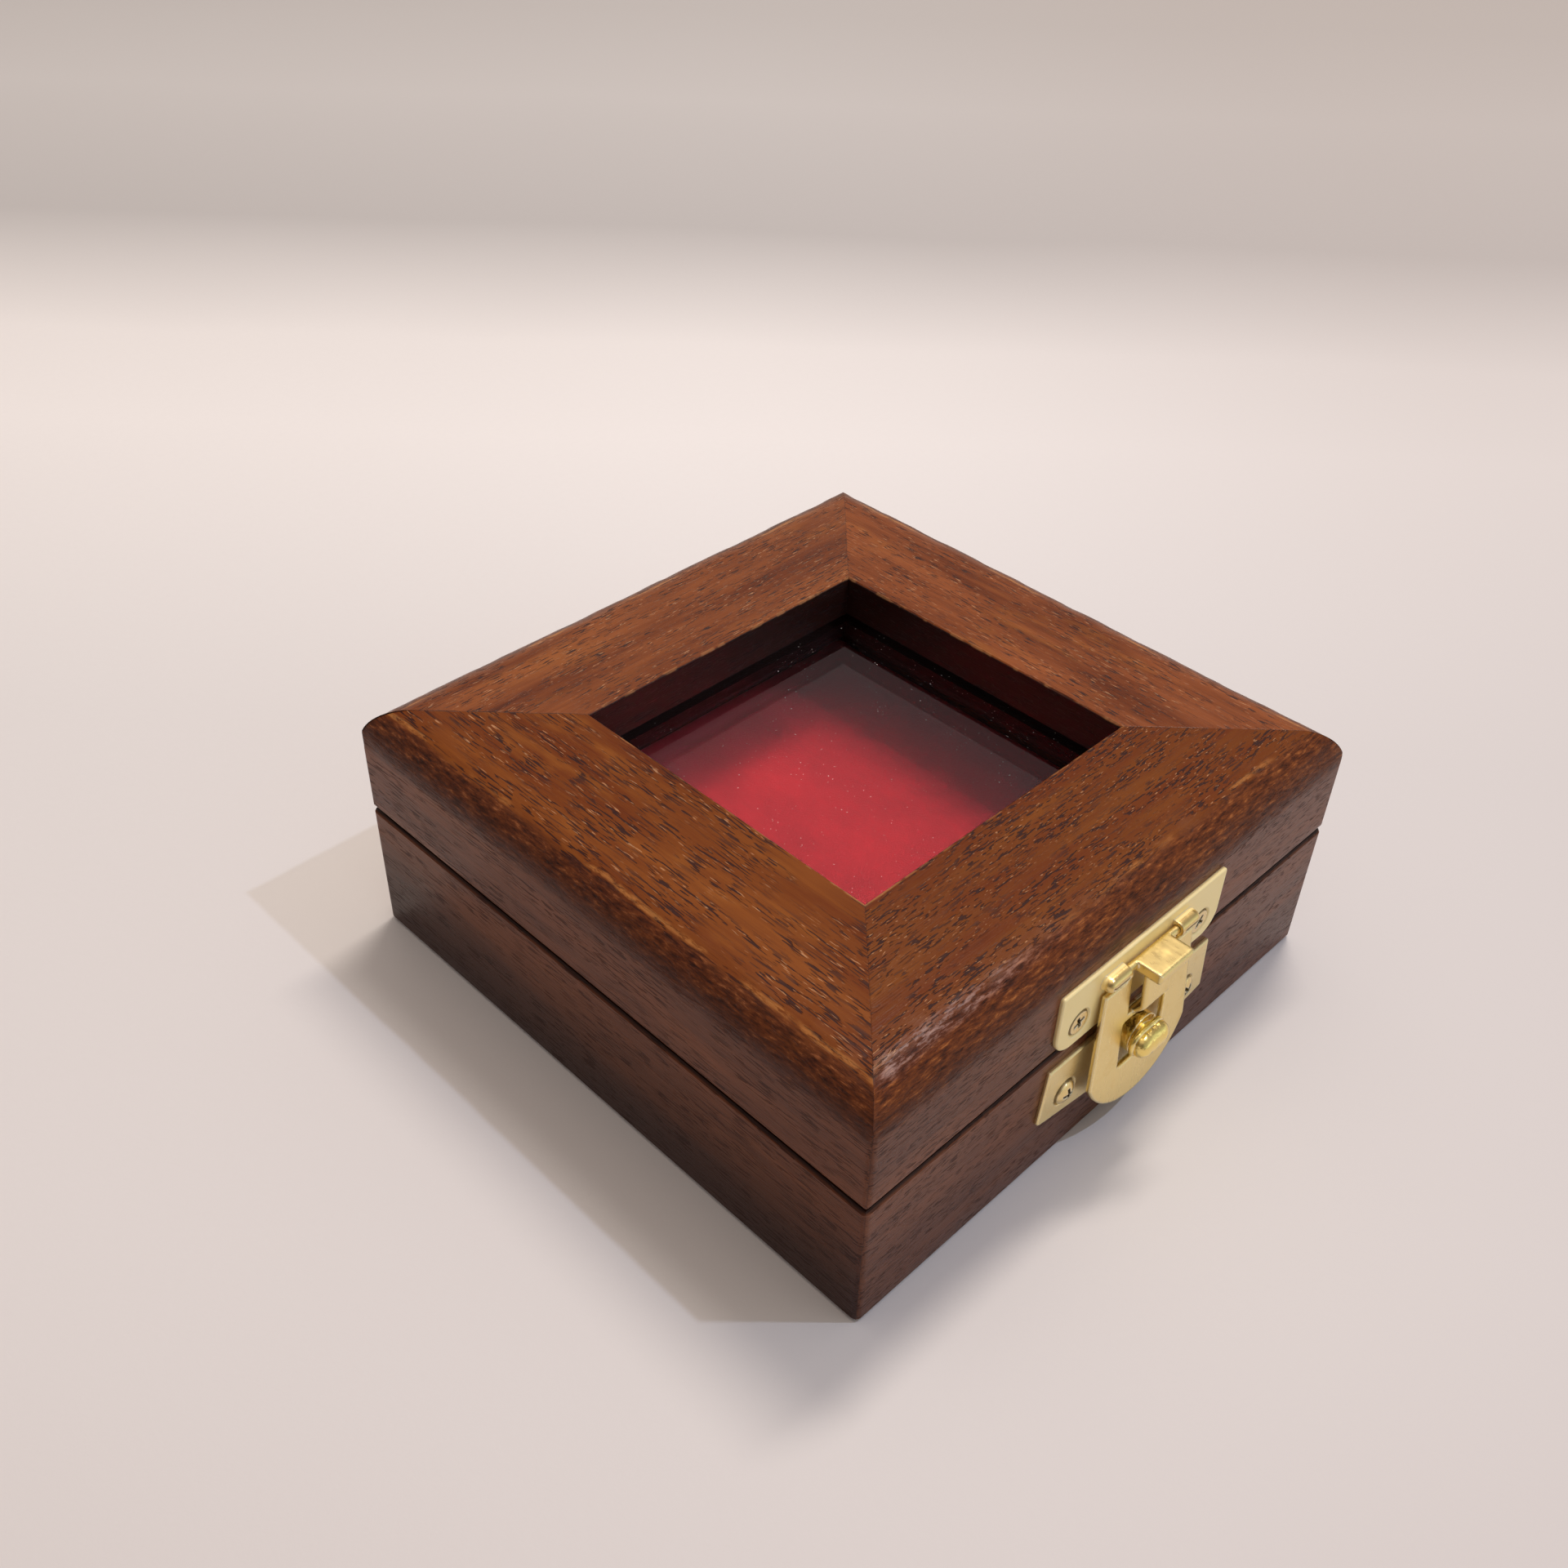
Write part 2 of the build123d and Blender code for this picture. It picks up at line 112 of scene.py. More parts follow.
camera = linked("camera", bpy.data.cameras.new("camera"))
camera.data.lens = CAMERA_LENS
camera.data.sensor_width = 36
camera.data.clip_start = 0.01
camera.data.clip_end = 20
turn = Matrix((camera_right, -camera_down, -look)).transposed()
camera.matrix_world = Matrix.Translation(CAMERA_PLACE) @ turn.to_4x4()
scene.camera = camera
print("camera at", [round(c, 4) for c in CAMERA_PLACE])

# %% [markdown]
# ## Sums written as Python
#
# A shader or a geometry tree is a net of nodes. It reads best as plain arithmetic, so a small class wraps a
# node's output, and each of Python's signs adds one Math node. Every other node comes from one method that
# takes the node's type, its settings, and the values or links of its sockets.


# %% The wrapper: one Python sign is one Math node
def sign(operation, turned=False):
    """The method behind a Python sign. Turned, it stands for a number on the sign's left, as in 1 - mask."""
    def apply(value, other):
        pair = (other, value) if turned else (value, other)
        return value.graph.maths(operation, *pair)
    return apply


class Value:
    """One output of a node. A sign between two of them, or one and a number, adds a Math node."""

    __add__ = sign("ADD")
    __radd__ = sign("ADD", turned=True)
    __sub__ = sign("SUBTRACT")
    __rsub__ = sign("SUBTRACT", turned=True)
    __mul__ = sign("MULTIPLY")
    __rmul__ = sign("MULTIPLY", turned=True)
    __truediv__ = sign("DIVIDE")
    __rtruediv__ = sign("DIVIDE", turned=True)
    __pow__ = sign("POWER")

    def __init__(self, graph, socket):
        self.graph = graph
        self.socket = socket

    def __abs__(self):
        return self.graph.maths("ABSOLUTE", self)

    def __neg__(self):
        return self * -1.0

    def other(self, name):
        """Another output of the same node."""
        return Value(self.graph, self.socket.node.outputs[name])


# %% The tree, with the one method that makes a node
class Graph:
    """A node tree, for a material, for the world or for geometry."""

    def __init__(self, tree):
        self.tree = tree
        tree.nodes.clear()

    def node(self, kind, settings=None, values=None, out=0):
        """Adds one node. Settings come first, because some of them change which sockets it has."""
        made = self.tree.nodes.new(kind)
        for name, setting in (settings or {}).items():
            if name == "stops":
                self.set_stops(made.color_ramp, setting)
            elif name == "items":
                for item_kind, item_name in setting:
                    made.capture_items.new(item_kind, item_name)
            else:
                setattr(made, name, setting)
        for name, value in (values or {}).items():
            if isinstance(value, Value):
                self.tree.links.new(value.socket, made.inputs[name])
            else:
                made.inputs[name].default_value = value
        return Value(self, made.outputs[out]) if len(made.outputs) else made

    @staticmethod
    def set_stops(ramp, stops):
        """A colour ramp's stops, as places and colours."""
        while len(ramp.elements) < len(stops):
            ramp.elements.new(1.0)
        for element, (place, colour) in zip(ramp.elements, stops):
            element.position = place
            element.color = (*colour, 1.0)

    def maths(self, operation, *numbers, clamp=False):
        settings = {"operation": operation, "use_clamp": clamp}
        return self.node("ShaderNodeMath", settings, dict(enumerate(numbers)))

    def lower(self, a, b):
        return self.maths("MINIMUM", a, b)

    def higher(self, a, b):
        return self.maths("MAXIMUM", a, b)

    def split(self, vector):
        """The three parts of a vector."""
        first = self.node("ShaderNodeSeparateXYZ", None, {0: vector})
        return first, first.other("Y"), first.other("Z")

    def join(self, x, y, z):
        return self.node("ShaderNodeCombineXYZ", None, {0: x, 1: y, 2: z})


# %% [markdown]
# ## Materials
#
# A finish is a Principled shader with patterns behind its colour, its roughness and its bump. The patterns
# read Object coordinates in millimetres, so that a pore or a scratch has its real size wherever it lies.


# %% A finish and the patterns that it is mixed from
class Finish(Graph):
    """A material whose patterns are laid out in millimetres."""

    def __init__(self, name):
        self.material = bpy.data.materials.new(name)
        self.material.use_nodes = True
        super().__init__(self.material.node_tree)
        metres = self.node("ShaderNodeTexCoord", out=3)
        self.place = self.node("ShaderNodeVectorMath", {"operation": "SCALE"}, {0: metres, 3: 1000.0})

    def scaled(self, sizes, shift=(0.0, 0.0, 0.0)):
        """The place, measured in pattern sizes, so that a pattern of size one has these sizes in mm."""
        moved = self.node("ShaderNodeVectorMath", {"operation": "ADD"}, {0: self.place, 1: shift})
        inverse = tuple(1.0 / size for size in sizes)
        return self.node("ShaderNodeVectorMath", {"operation": "MULTIPLY"}, {0: moved, 1: inverse})

    def noise(self, sizes, detail=2.0, roughness=0.5, shift=(0.0, 0.0, 0.0), distortion=0.0):
        """Soft random pattern from 0 to 1 whose blotches have these sizes along X, Y and Z in mm."""
        values = {
            "Vector": self.scaled(sizes, shift), "Scale": 1.0, "Detail": detail,
            "Roughness": roughness, "Distortion": distortion,
        }
        return self.node("ShaderNodeTexNoise", {"noise_dimensions": "3D"}, values)

    def step(self, value, start, end):
        """0 below start, 1 above end and a smooth rise between; with start above end it falls."""
        low, high = min(start, end), max(start, end)
        values = {"Value": value, "From Min": low, "From Max": high}
        rise = self.node("ShaderNodeMapRange", {"interpolation_type": "SMOOTHSTEP"}, values)
        return rise if start < end else 1.0 - rise

    def ramp(self, value, *stops):
        return self.node("ShaderNodeValToRGB", {"stops": stops}, {0: value})

    def mix(self, factor, base, over, blend="MIX"):
        """One colour laid over another by a factor."""
        settings = {"data_type": "RGBA", "blend_type": blend}
        base, over = ((*c, 1.0) if isinstance(c, tuple) else c for c in (base, over))
        return self.node("ShaderNodeMix", settings, {0: factor, 6: base, 7: over}, out=2)

    def bump(self, height, depth, **more):
        """Normal from a height that runs from 0 to 1 and stands for this depth in mm."""
        return self.node("ShaderNodeBump", None, {"Height": height, "Distance": depth * MM, **more})

    def principled(self, **values):
        sockets = {name.replace("_", " "): value for name, value in values.items()}
        return self.node("ShaderNodeBsdfPrincipled", None, sockets)

    def surface(self, shader):
        self.node("ShaderNodeOutputMaterial", None, {"Surface": shader})
        return self.material


# %% [markdown]
# ## Hardwood
#
# The box is sawn from a dark open-pored hardwood and stained brown. Its grain runs along each side of the
# frame, so the patterns are long in that direction and thin across it. Three things make it read as wood:
# broad streaks of tone, fine fibres, and open pores that hold stain as short dark dashes, with a painted
# highlight as a small glint beside some of them on the top. On the rounded top edge the end of the fibres
# drinks more stain, so it is burnt red and blotchy; near the front corner its pale streaks are a painted
# reflection. The sides carry painted shade, darkest near the table. A frame has two grain directions and no
# two sticks are alike, so each side gets its own mix.

# %% The rounding and the rebate, which the wood's pattern follows too
ROUND_RADIUS = 4.6
ROUND_START = BOX_HALF - ROUND_RADIUS
ROUND_FOOT = BOX_TOP - ROUND_RADIUS
REBATE_HALF = 25.3
PARTING_HEIGHT = 17.95
print("rounding starts", ROUND_START, "mm out and", round(ROUND_FOOT, 3), "mm up")


# %% Start a hardwood with the patterns that its layers share
class Hardwood(Finish):
    """Stained hardwood with its grain along X or Y, and the colour that has been laid on it so far."""

    def __init__(self, name, along, shift):
        super().__init__(name)
        self.along = along
        self.shift = shift
        self.x, self.y, self.z = self.split(self.place)
        self.outward = self.higher(abs(self.x), abs(self.y))
        self.on_top = self.step(self.z, BOX_TOP - 0.4, BOX_TOP - 0.1)
        self.broad = self.grain(38.0, 6.0, 3.0, 0.55, 11.0, 0.4)
        self.streak = self.grain(16.0, 1.1, 4.0, 0.6, 23.0, 0.2)
        self.fibre = self.grain(5.0, 0.16, 3.0, 0.6, 5.0)
        self.blotch = self.grain(1.9, 0.42, 4.0, 0.68, 3.0)
        self.tone = self.broad * 0.55 + self.streak * 0.33 + self.fibre * 0.12

    def grain(self, length, width, detail=2.0, roughness=0.5, move=0.0, distortion=0.0):
        """Noise with this length along the grain and this width across it, in mm."""
        sizes = (length, width, width) if self.along == "x" else (width, length, width)
        moved = tuple(part + move for part in self.shift)
        return self.noise(sizes, detail, roughness, moved, distortion)

    def lay(self, mask, colour):
        """One more colour over the wood, as far as the mask is above 0."""
        self.colour = self.mix(mask, self.colour, colour)


# %% Grow the plank and its pores
def plank(wood, warmth, gold):
    """Streaks of brown, with this share of amber."""
    wood.colour = wood.ramp(
        wood.tone,
        (0.30, (0.070, 0.014, 0.004)),
        (0.43, (0.140, 0.029, 0.004)),
        (0.55, (0.220 * warmth, 0.056 * warmth, 0.010 * warmth**3)),
        (0.72, (0.325 * warmth, 0.092 * warmth, 0.016 * warmth**3)),
    )
    amber = wood.step(wood.grain(15.0, 3.2, 3.0, 0.6, 41.0), 0.53, 0.70) * gold
    wood.lay(amber, (0.32, 0.104, 0.015))


def open_pores(wood, length, width, share):
    """Short dark dashes in crowds; on the top, some have a painted glint beside them."""
    crowd = wood.step(wood.grain(11.0, 1.8, 2.0, 0.5, 61.0), 0.32, 0.58)
    start = 0.66 - 0.10 * share
    wood.pores = wood.step(wood.grain(length, width, 1.5, 0.5, 71.0), start, start + 0.04) * crowd
    wood.lay(wood.pores * 0.92, (0.026, 0.008, 0.008))
    # Painted highlight: a small pale glint beside some pores, on the top only.
    painted_glint_spots = wood.step(wood.grain(length * 0.6, width * 0.8, 1.0, 0.5, 83.0), 0.66, 0.73)
    wood.glints = painted_glint_spots * crowd * wood.on_top
    wood.lay(wood.glints * 0.65, (0.60, 0.30, 0.14))


# %% Paint shade on the sides, and stain the rounded edge
def box_sides(wood, foot_shade):
    """Painted shade: the sides of the box are darker and redder than its top, and darker still near the table.
    """
    beside = wood.step(wood.outward, BOX_HALF - 0.8, BOX_HALF - 0.2) * wood.step(wood.z, 29.5, 27.0)
    # Painted shade: a darker tone for the sides than for the top.
    shaded_side_tone = wood.ramp(
        wood.tone,
        (0.32, (0.085, 0.024, 0.011)),
        (0.60, (0.200, 0.064, 0.026)),
        (0.75, (0.260, 0.090, 0.036)),
    )
    shaded_side_tone = wood.mix(wood.pores * 0.6, shaded_side_tone, (0.022, 0.009, 0.009))
    wood.lay(beside, shaded_side_tone)
    # Painted shade: darker still towards the table.
    wood.lay(wood.step(wood.z, 19.0, 2.0) * beside * foot_shade, (0.030, 0.010, 0.007))


def rounded_edge(wood, burn, tuck, gold):
    """More stain and blotches on the rounded edge, and a rubbed line where it meets the top."""
    arris = wood.outward + (wood.grain(5.0, 5.0, 3.0) - 0.5) - tuck
    wood.rounded = wood.step(arris, ROUND_START - 0.1, ROUND_START + 0.9)
    wood.rounded = wood.rounded * wood.step(wood.z, ROUND_FOOT - 0.9, ROUND_FOOT + 0.5)
    burnt = wood.ramp(
        wood.blotch,
        (0.34, (0.024 * burn, 0.006 * burn, 0.003)),
        (0.48, (0.080 * burn, 0.019 * burn, 0.006)),
        (0.59, (0.140 * burn, 0.037 * burn, 0.010)),
        (0.71, (0.320 * burn, 0.110 * burn, 0.036)),
    )
    foot = wood.step(wood.z, 30.6, 28.6) * wood.rounded
    burnt = wood.mix(foot * 0.45, burnt, (0.070, 0.021, 0.012))
    wood.lay(wood.rounded * 0.90, burnt)

    patchy = wood.grain(9.0, 9.0, 2.0, 0.5, 7.0) + 0.25 * gold
    rubbed = wood.step(abs(arris - ROUND_START), 0.42, 0.06) * wood.step(wood.z, 31.2, 31.6)
    rubbed = rubbed * wood.step(patchy, 0.54, 0.66)
    wood.lay(rubbed * wood.step(wood.blotch, 0.36, 0.56) * 0.70, (0.46, 0.18, 0.045))

    # Next to the front corner, pale streaks on the rounding are a painted reflection of the lamps.
    painted_reflection = wood.step(abs(arris - ROUND_START - 0.5), 1.3, 0.3)
    painted_reflection = painted_reflection * wood.step(wood.x + wood.y, -44.0, -66.0) * wood.step(wood.x - wood.y, 0.0, 2.0)
    wood.lay(painted_reflection * wood.step(wood.blotch, 0.46, 0.62) * 0.48, (0.42, 0.31, 0.29))


# %% Darken the window's walls and the joints
def window_walls(wood):
    """Window walls and rebate made nearly black, with unstained wood showing here and there on the window's
    sawn edge.
    """
    inside = wood.step(wood.outward, WINDOW_HALF + 0.12, WINDOW_HALF + 0.02)
    wood.lay(inside * 0.95, (0.016, 0.006, 0.006))
    rebate = wood.step(wood.outward, REBATE_HALF + 0.9, REBATE_HALF + 0.5)
    rebate = rebate * wood.step(wood.z, GLASS_TOP + 0.2, GLASS_TOP)
    wood.lay(rebate * 0.96, (0.011, 0.005, 0.005))
    rim = wood.step(abs(wood.outward - WINDOW_HALF - 0.12), 0.30, 0.12) * wood.on_top
    chipped = wood.step(wood.x + wood.y, -34.0, -41.0)
    rim = rim * wood.step(wood.grain(2.2, 2.2, 2.0, 0.5, 19.0) + 0.10 * chipped, 0.50, 0.60)
    wood.lay(rim * (0.45 + 0.3 * chipped), (0.42, 0.18, 0.06))


def mitre_lines_and_parting_shade(wood):
    """Dark lines in the mitres, most of all between left and back, and painted shade along the gap between lid
    and base.
    """
    open_joint = 0.35 + 0.55 * wood.step(wood.y - wood.x, 25.0, 60.0)
    wood.mitre = wood.step(abs(abs(wood.x) - abs(wood.y)), 0.15, 0.03) * open_joint
    wood.mitre = wood.mitre * wood.step(wood.noise((1.6, 1.6, 1.6), 1.0, 0.5, wood.shift), 0.34, 0.48)
    wood.lay(wood.mitre * 0.9, (0.030, 0.010, 0.008))
    # Painted shade: a dark line along the gap between lid and base.
    parting_shade = wood.step(abs(wood.z - PARTING_HEIGHT), 0.55, 0.20)
    parting_shade = parting_shade * wood.step(wood.outward, BOX_HALF - 1.4, BOX_HALF - 0.8)
    wood.lay(parting_shade * 0.90, (0.012, 0.004, 0.003))


# %% Lacquer it
def lacquered(wood, gloss):
    """Thin lacquer over the colour, sunk into pores and mitres and proud on blotches."""
    height = 0.35 * wood.fibre + 0.15 * wood.streak - 0.75 * wood.pores - 0.5 * wood.mitre
    height = height + 0.25 * wood.glints + wood.rounded * wood.blotch * 0.9
    roughness = 0.31 + 0.25 * (wood.broad - 0.5) + 0.18 * wood.pores
    shader = wood.principled(
        Base_Color=wood.colour,
        Roughness=roughness + 0.10 * wood.rounded * wood.blotch,
        Specular_IOR_Level=gloss,
        Coat_Weight=0.07 - 0.06 * wood.pores,
        Coat_Roughness=0.14,
        Coat_IOR=1.45,
        Normal=wood.bump(height, 0.09),
    )
    return wood.surface(shader)


# %% Mix one hardwood for each side of the frame
def hardwood(name, along, shift, warmth, gold, pores, burn=1.0, foot_shade=0.25, tuck=1.2, gloss=0.13):
    """Hardwood from a place in the plank.

    Gold is the share of amber. Pores are their length and width in mm and how many there are. Burn is the
    tone of the rounded edge, and foot shade is how much painted shade darkens the sides near the table. Tuck
    is how many mm beyond the start of the rounding its dark stain begins, and gloss is how much of the room
    the lacquer mirrors.
    """
    wood = Hardwood(name, along, shift)
    plank(wood, warmth, gold)
    open_pores(wood, *pores)
    box_sides(wood, foot_shade)
    rounded_edge(wood, burn, tuck, gold)
    window_walls(wood)
    mitre_lines_and_parting_shade(wood)
    return lacquered(wood, gloss)


wood_mixes = {
    "front": hardwood(
        "hardwood_front", "x", (3.0, 17.0, 5.0), warmth=0.74, gold=0.12, pores=(1.4, 0.22, 1.05),
        burn=1.30, foot_shade=0.30, tuck=0.9,
    ),
    "back": hardwood(
        "hardwood_back", "x", (57.0, 83.0, 9.0), warmth=1.00, gold=0.28, pores=(1.9, 0.20, 0.80),
        burn=1.1, gloss=0.28,
    ),
    "left": hardwood(
        "hardwood_left", "y", (29.0, 5.0, 31.0), warmth=0.84, gold=0.42, pores=(3.0, 0.24, 1.15),
        burn=0.95, foot_shade=0.90, tuck=1.8,
    ),
    "right": hardwood(
        "hardwood_right", "y", (71.0, 37.0, 2.0), warmth=1.10, gold=0.38, pores=(2.2, 0.20, 0.75),
        burn=1.1, gloss=0.22,
    ),
}
print("wood mixes:", sorted(wood_mixes))

# %% [markdown]
# ## The mitred frames
#
# Lid and base are both picture frames: one section is run along a line, and its ends are cut at 45 degrees.
# That is a rule, so Geometry Nodes build it. The section is drawn as a loop of points in the YZ plane and
# swept along X. Then each point goes to x = t * |y|, where t runs from -1 to 1 along the stick. Where |y| is
# larger the stick is longer, so both ends lie on the mitre. Rows crowd together towards the ends, where the
# corner of the box is rounded.


# %% Draw a section as points in the YZ plane
def arc_points(centre, radius, start, end, count):
    """Points on an arc in the YZ plane, in mm, from one angle to another in degrees."""
    points = []
    for index in range(count + 1):
        angle = radians(start + (end - start) * index / count)
        points.append((centre[0] + radius * cos(angle), centre[1] + radius * sin(angle)))
    return points


def divided(points, longest):
    """The closed outline with its long runs cut up, so that no run is longer than this many mm."""
    result = []
    for start, end in zip(points, points[1:] + points[:1]):
        start, end = Vector(start), Vector(end)
        parts = max(1, int((end - start).length / longest + 0.999))
        result.extend(tuple(start.lerp(end, index / parts)) for index in range(parts))
    return result


# %% The two sections
LID_EASE = 0.9
WINDOW_ARRIS = 0.2
lid_section = arc_points((-ROUND_START, ROUND_FOOT), ROUND_RADIUS, 90, 180, 18)
lid_section += arc_points((-BOX_HALF + LID_EASE, LID_FOOT + LID_EASE), LID_EASE, 180, 270, 6)
lid_section += [
    (-REBATE_HALF, LID_FOOT),
    (-REBATE_HALF, GLASS_TOP),
    (-WINDOW_HALF, GLASS_TOP),
    (-WINDOW_HALF, BOX_TOP - WINDOW_ARRIS),
    (-WINDOW_HALF - WINDOW_ARRIS, BOX_TOP),
]

BASE_TOP_EASE = 0.35
BASE_FOOT_EASE = 0.6
FLOOR_REBATE = 2.5
base_section = [
    (-BOX_HALF, BASE_TOP - BASE_TOP_EASE),
    (-BOX_HALF, BASE_FOOT_EASE),
    (-BOX_HALF + BASE_FOOT_EASE, 0.0),
    (-INNER_HALF - FLOOR_REBATE, 0.0),
    (-INNER_HALF - FLOOR_REBATE, FLOOR_TOP),
    (-INNER_HALF, FLOOR_TOP),
    (-INNER_HALF, BASE_TOP),
    (-BOX_HALF + BASE_TOP_EASE, BASE_TOP),
]
print("section points:", len(lid_section), len(base_section))


# %% How every geometry tree starts and ends
def new_geometry_tree(name, inputs):
    """A geometry tree with named inputs: its graph, and the value of each input by name."""
    tree = bpy.data.node_groups.new(name, "GeometryNodeTree")
    tree.interface.new_socket("Geometry", in_out="INPUT", socket_type="NodeSocketGeometry")
    for label, kind in inputs:
        tree.interface.new_socket(label, in_out="INPUT", socket_type=kind)
    tree.interface.new_socket("Geometry", in_out="OUTPUT", socket_type="NodeSocketGeometry")
    graph = Graph(tree)
    first = graph.node("NodeGroupInput")
    return graph, {label: first.other(label) for label in ["Geometry"] + [label for label, _ in inputs]}


def end_tree(graph, geometry, finish):
    """Each tree ends the same way: real geometry with its material on it."""
    real = graph.node("GeometryNodeRealizeInstances", None, {0: geometry})
    done = graph.node("GeometryNodeSetMaterial", None, {"Geometry": real, "Material": finish})
    graph.node("NodeGroupOutput", None, {0: done})
    return graph.tree


# %% Run the section along a line and round the box's corners
def swept_section(g, given):
    """The section swept along X: the stick, and each point's place in the section and along the line."""
    position = g.node("GeometryNodeInputPosition")
    section = g.node("GeometryNodeMeshToCurve", None, {0: given["Geometry"]})
    drawn = {"items": [("VECTOR", "Drawn")]}
    section = g.node("GeometryNodeCaptureAttribute", drawn, {0: section, 1: position})
    line = g.node("GeometryNodeCurvePrimitiveLine", None, {"Start": (-1.0, 0.0, 0.0), "End": (1.0, 0.0, 0.0)})
    line = g.node("GeometryNodeResampleCurve", None, {"Curve": line, "Count": given["Rows"]})
    line = g.node("GeometryNodeCaptureAttribute", {"items": [("VECTOR", "Along")]}, {0: line, 1: position})
    values = {"Curve": line, "Profile Curve": section, "Fill Caps": True}
    return g.node("GeometryNodeCurveToMesh", None, values), section.other("Drawn"), line.other("Along")


def rounded_corner(g, given, x, y):
    """X and y pulled in where they pass the round that ends each corner of the box."""
    flat = given["Half side"] - given["Corner round"]
    over_x = g.higher(abs(x) - flat, 0.0)
    over_y = g.higher(abs(y) - flat, 0.0)
    reach = g.maths("SQRT", over_x * over_x + over_y * over_y)
    pull = g.lower(given["Corner round"] / g.higher(reach, 1e-7), 1.0)
    rounded_x = g.maths("SIGN", x) * (g.lower(abs(x), flat) + over_x * pull)
    rounded_y = g.maths("SIGN", y) * (g.lower(abs(y), flat) + over_y * pull)
    return rounded_x, rounded_y


# %% Wear the outside, and put the tree together
WEAR_START = BOX_HALF - 7.0
WEAR_FULL = BOX_HALF - 4.0
WEAR_FOOT = ROUND_FOOT - 0.1


def rubbed_off(g, given, y, z, along):
    """How far hands and sandpaper took the surface back: outside and above, never on the glued faces."""
    values = {"Value": abs(y), "From Min": WEAR_START * MM, "From Max": WEAR_FULL * MM}
    outside = g.node("ShaderNodeMapRange", {"interpolation_type": "SMOOTHSTEP"}, values)
    high = g.maths("GREATER_THAN", z, WEAR_FOOT * MM)
    between_ends = g.maths("LESS_THAN", abs(along), 0.9999)
    position = g.node("GeometryNodeInputPosition")
    values = {"Vector": position, "W": given["Seed"], "Scale": 1.0 / given["Wear size"], "Detail": 2.0}
    chance = g.node("ShaderNodeTexNoise", {"noise_dimensions": "4D"}, values)
    return g.higher(chance - 0.42, 0.0) * given["Wear"] * outside * high * between_ends


def mitred_side_tree():
    """A section in, one worn side of a frame out."""
    names = [
        ("Half side", "NodeSocketFloat"), ("Corner round", "NodeSocketFloat"), ("Rows", "NodeSocketInt"),
        ("Wear", "NodeSocketFloat"), ("Wear size", "NodeSocketFloat"), ("Seed", "NodeSocketFloat"),
        ("Turn", "NodeSocketFloat"), ("Finish", "NodeSocketMaterial"),
    ]
    g, given = new_geometry_tree("mitred_side", names)
    stick, drawn, line = swept_section(g, given)
    _, y, z = g.split(drawn)
    t, _, _ = g.split(line)
    along = g.maths("SINE", t * (pi / 2))
    x, y = rounded_corner(g, given, along * abs(y), y)
    placed = g.node("GeometryNodeSetPosition", None, {"Geometry": stick, "Position": g.join(x, y, z)})
    values = {0: g.node("GeometryNodeInputNormal"), 3: -rubbed_off(g, given, y, z, along)}
    inward = g.node("ShaderNodeVectorMath", {"operation": "SCALE"}, values)
    worn = g.node("GeometryNodeSetPosition", None, {"Geometry": placed, "Offset": inward})
    values = {"Geometry": worn, "Rotation": g.join(0.0, 0.0, given["Turn"])}
    return end_tree(g, g.node("GeometryNodeTransform", None, values), given["Finish"])


side_tree = mitred_side_tree()


# %% Set a tree's inputs and turn its result into a plain mesh
def final_mesh(obj):
    """The object's mesh as its modifiers leave it."""
    return bpy.data.meshes.new_from_object(obj.evaluated_get(bpy.context.evaluated_depsgraph_get()))


def run_tree(name, mesh, tree, values, smooth_angle=35.0):
    """Runs a tree on a mesh and gives a plain object of this name, with no modifier left on it."""
    seed_object = linked(name + "_seed", mesh)
    modifier = seed_object.modifiers.new("rule", "NODES")
    modifier.node_group = tree
    for item in tree.interface.items_tree:
        if item.item_type == "SOCKET" and item.in_out == "INPUT" and item.name in values:
            modifier[item.identifier] = values[item.name]
    plain = final_mesh(seed_object)
    bpy.data.objects.remove(seed_object)
    plain.name = name
    tidy_mesh(plain, smooth_angle)
    return linked(name, plain)


def tidy_mesh(mesh, smooth_angle):
    """Closes seams, turns all faces outwards and keeps only true edges sharp."""
    work = bmesh.new()
    work.from_mesh(mesh)
    bmesh.ops.remove_doubles(work, verts=work.verts, dist=1e-7)
    bmesh.ops.recalc_face_normals(work, faces=work.faces)
    for face in work.faces:
        face.smooth = True
    work.to_mesh(mesh)
    work.free()
    mesh.set_sharp_from_angle(angle=radians(smooth_angle))


def outline_mesh(name, points):
    """A closed loop of edges from points in the YZ plane, in mm."""
    mesh = bpy.data.meshes.new(name)
    corners = [(0.0, y * MM, z * MM) for y, z in points]
    mesh.from_pydata(corners, [(i, (i + 1) % len(corners)) for i in range(len(corners))], [])
    return mesh


# %% Build the lid's frame and the base's
SIDE_TURNS = {"front": 0.0, "right": 90.0, "back": 180.0, "left": 270.0}
CORNER_ROUND = 0.8
ROWS = 121
WEAR_SIZE = 4.5
LONGEST_RUN = 0.8


def mitred_frame(prefix, section, body, wear):
    """The four sides of a frame, each standing for its own CAD node. Wear is in mm."""
    for seed, (side, angle) in enumerate(SIDE_TURNS.items()):
        values = {
            "Half side": BOX_HALF * MM, "Corner round": CORNER_ROUND * MM, "Rows": ROWS,
            "Wear": wear * MM, "Wear size": WEAR_SIZE * MM, "Seed": float(seed),
            "Turn": radians(angle), "Finish": wood_mixes[side],
        }
        node = f"{prefix}_{side}"
        outline = outline_mesh(node, divided(section, LONGEST_RUN))
        stick = run_tree(node + "_worn", outline, side_tree, values)
        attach(stick, body)
        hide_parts(node)
        print(stick.name, "faces:", len(stick.data.polygons))


mitred_frame("lid_rail", lid_section, "lid", 0.45)
mitred_frame("base_wall", base_section, "base", 0.2)

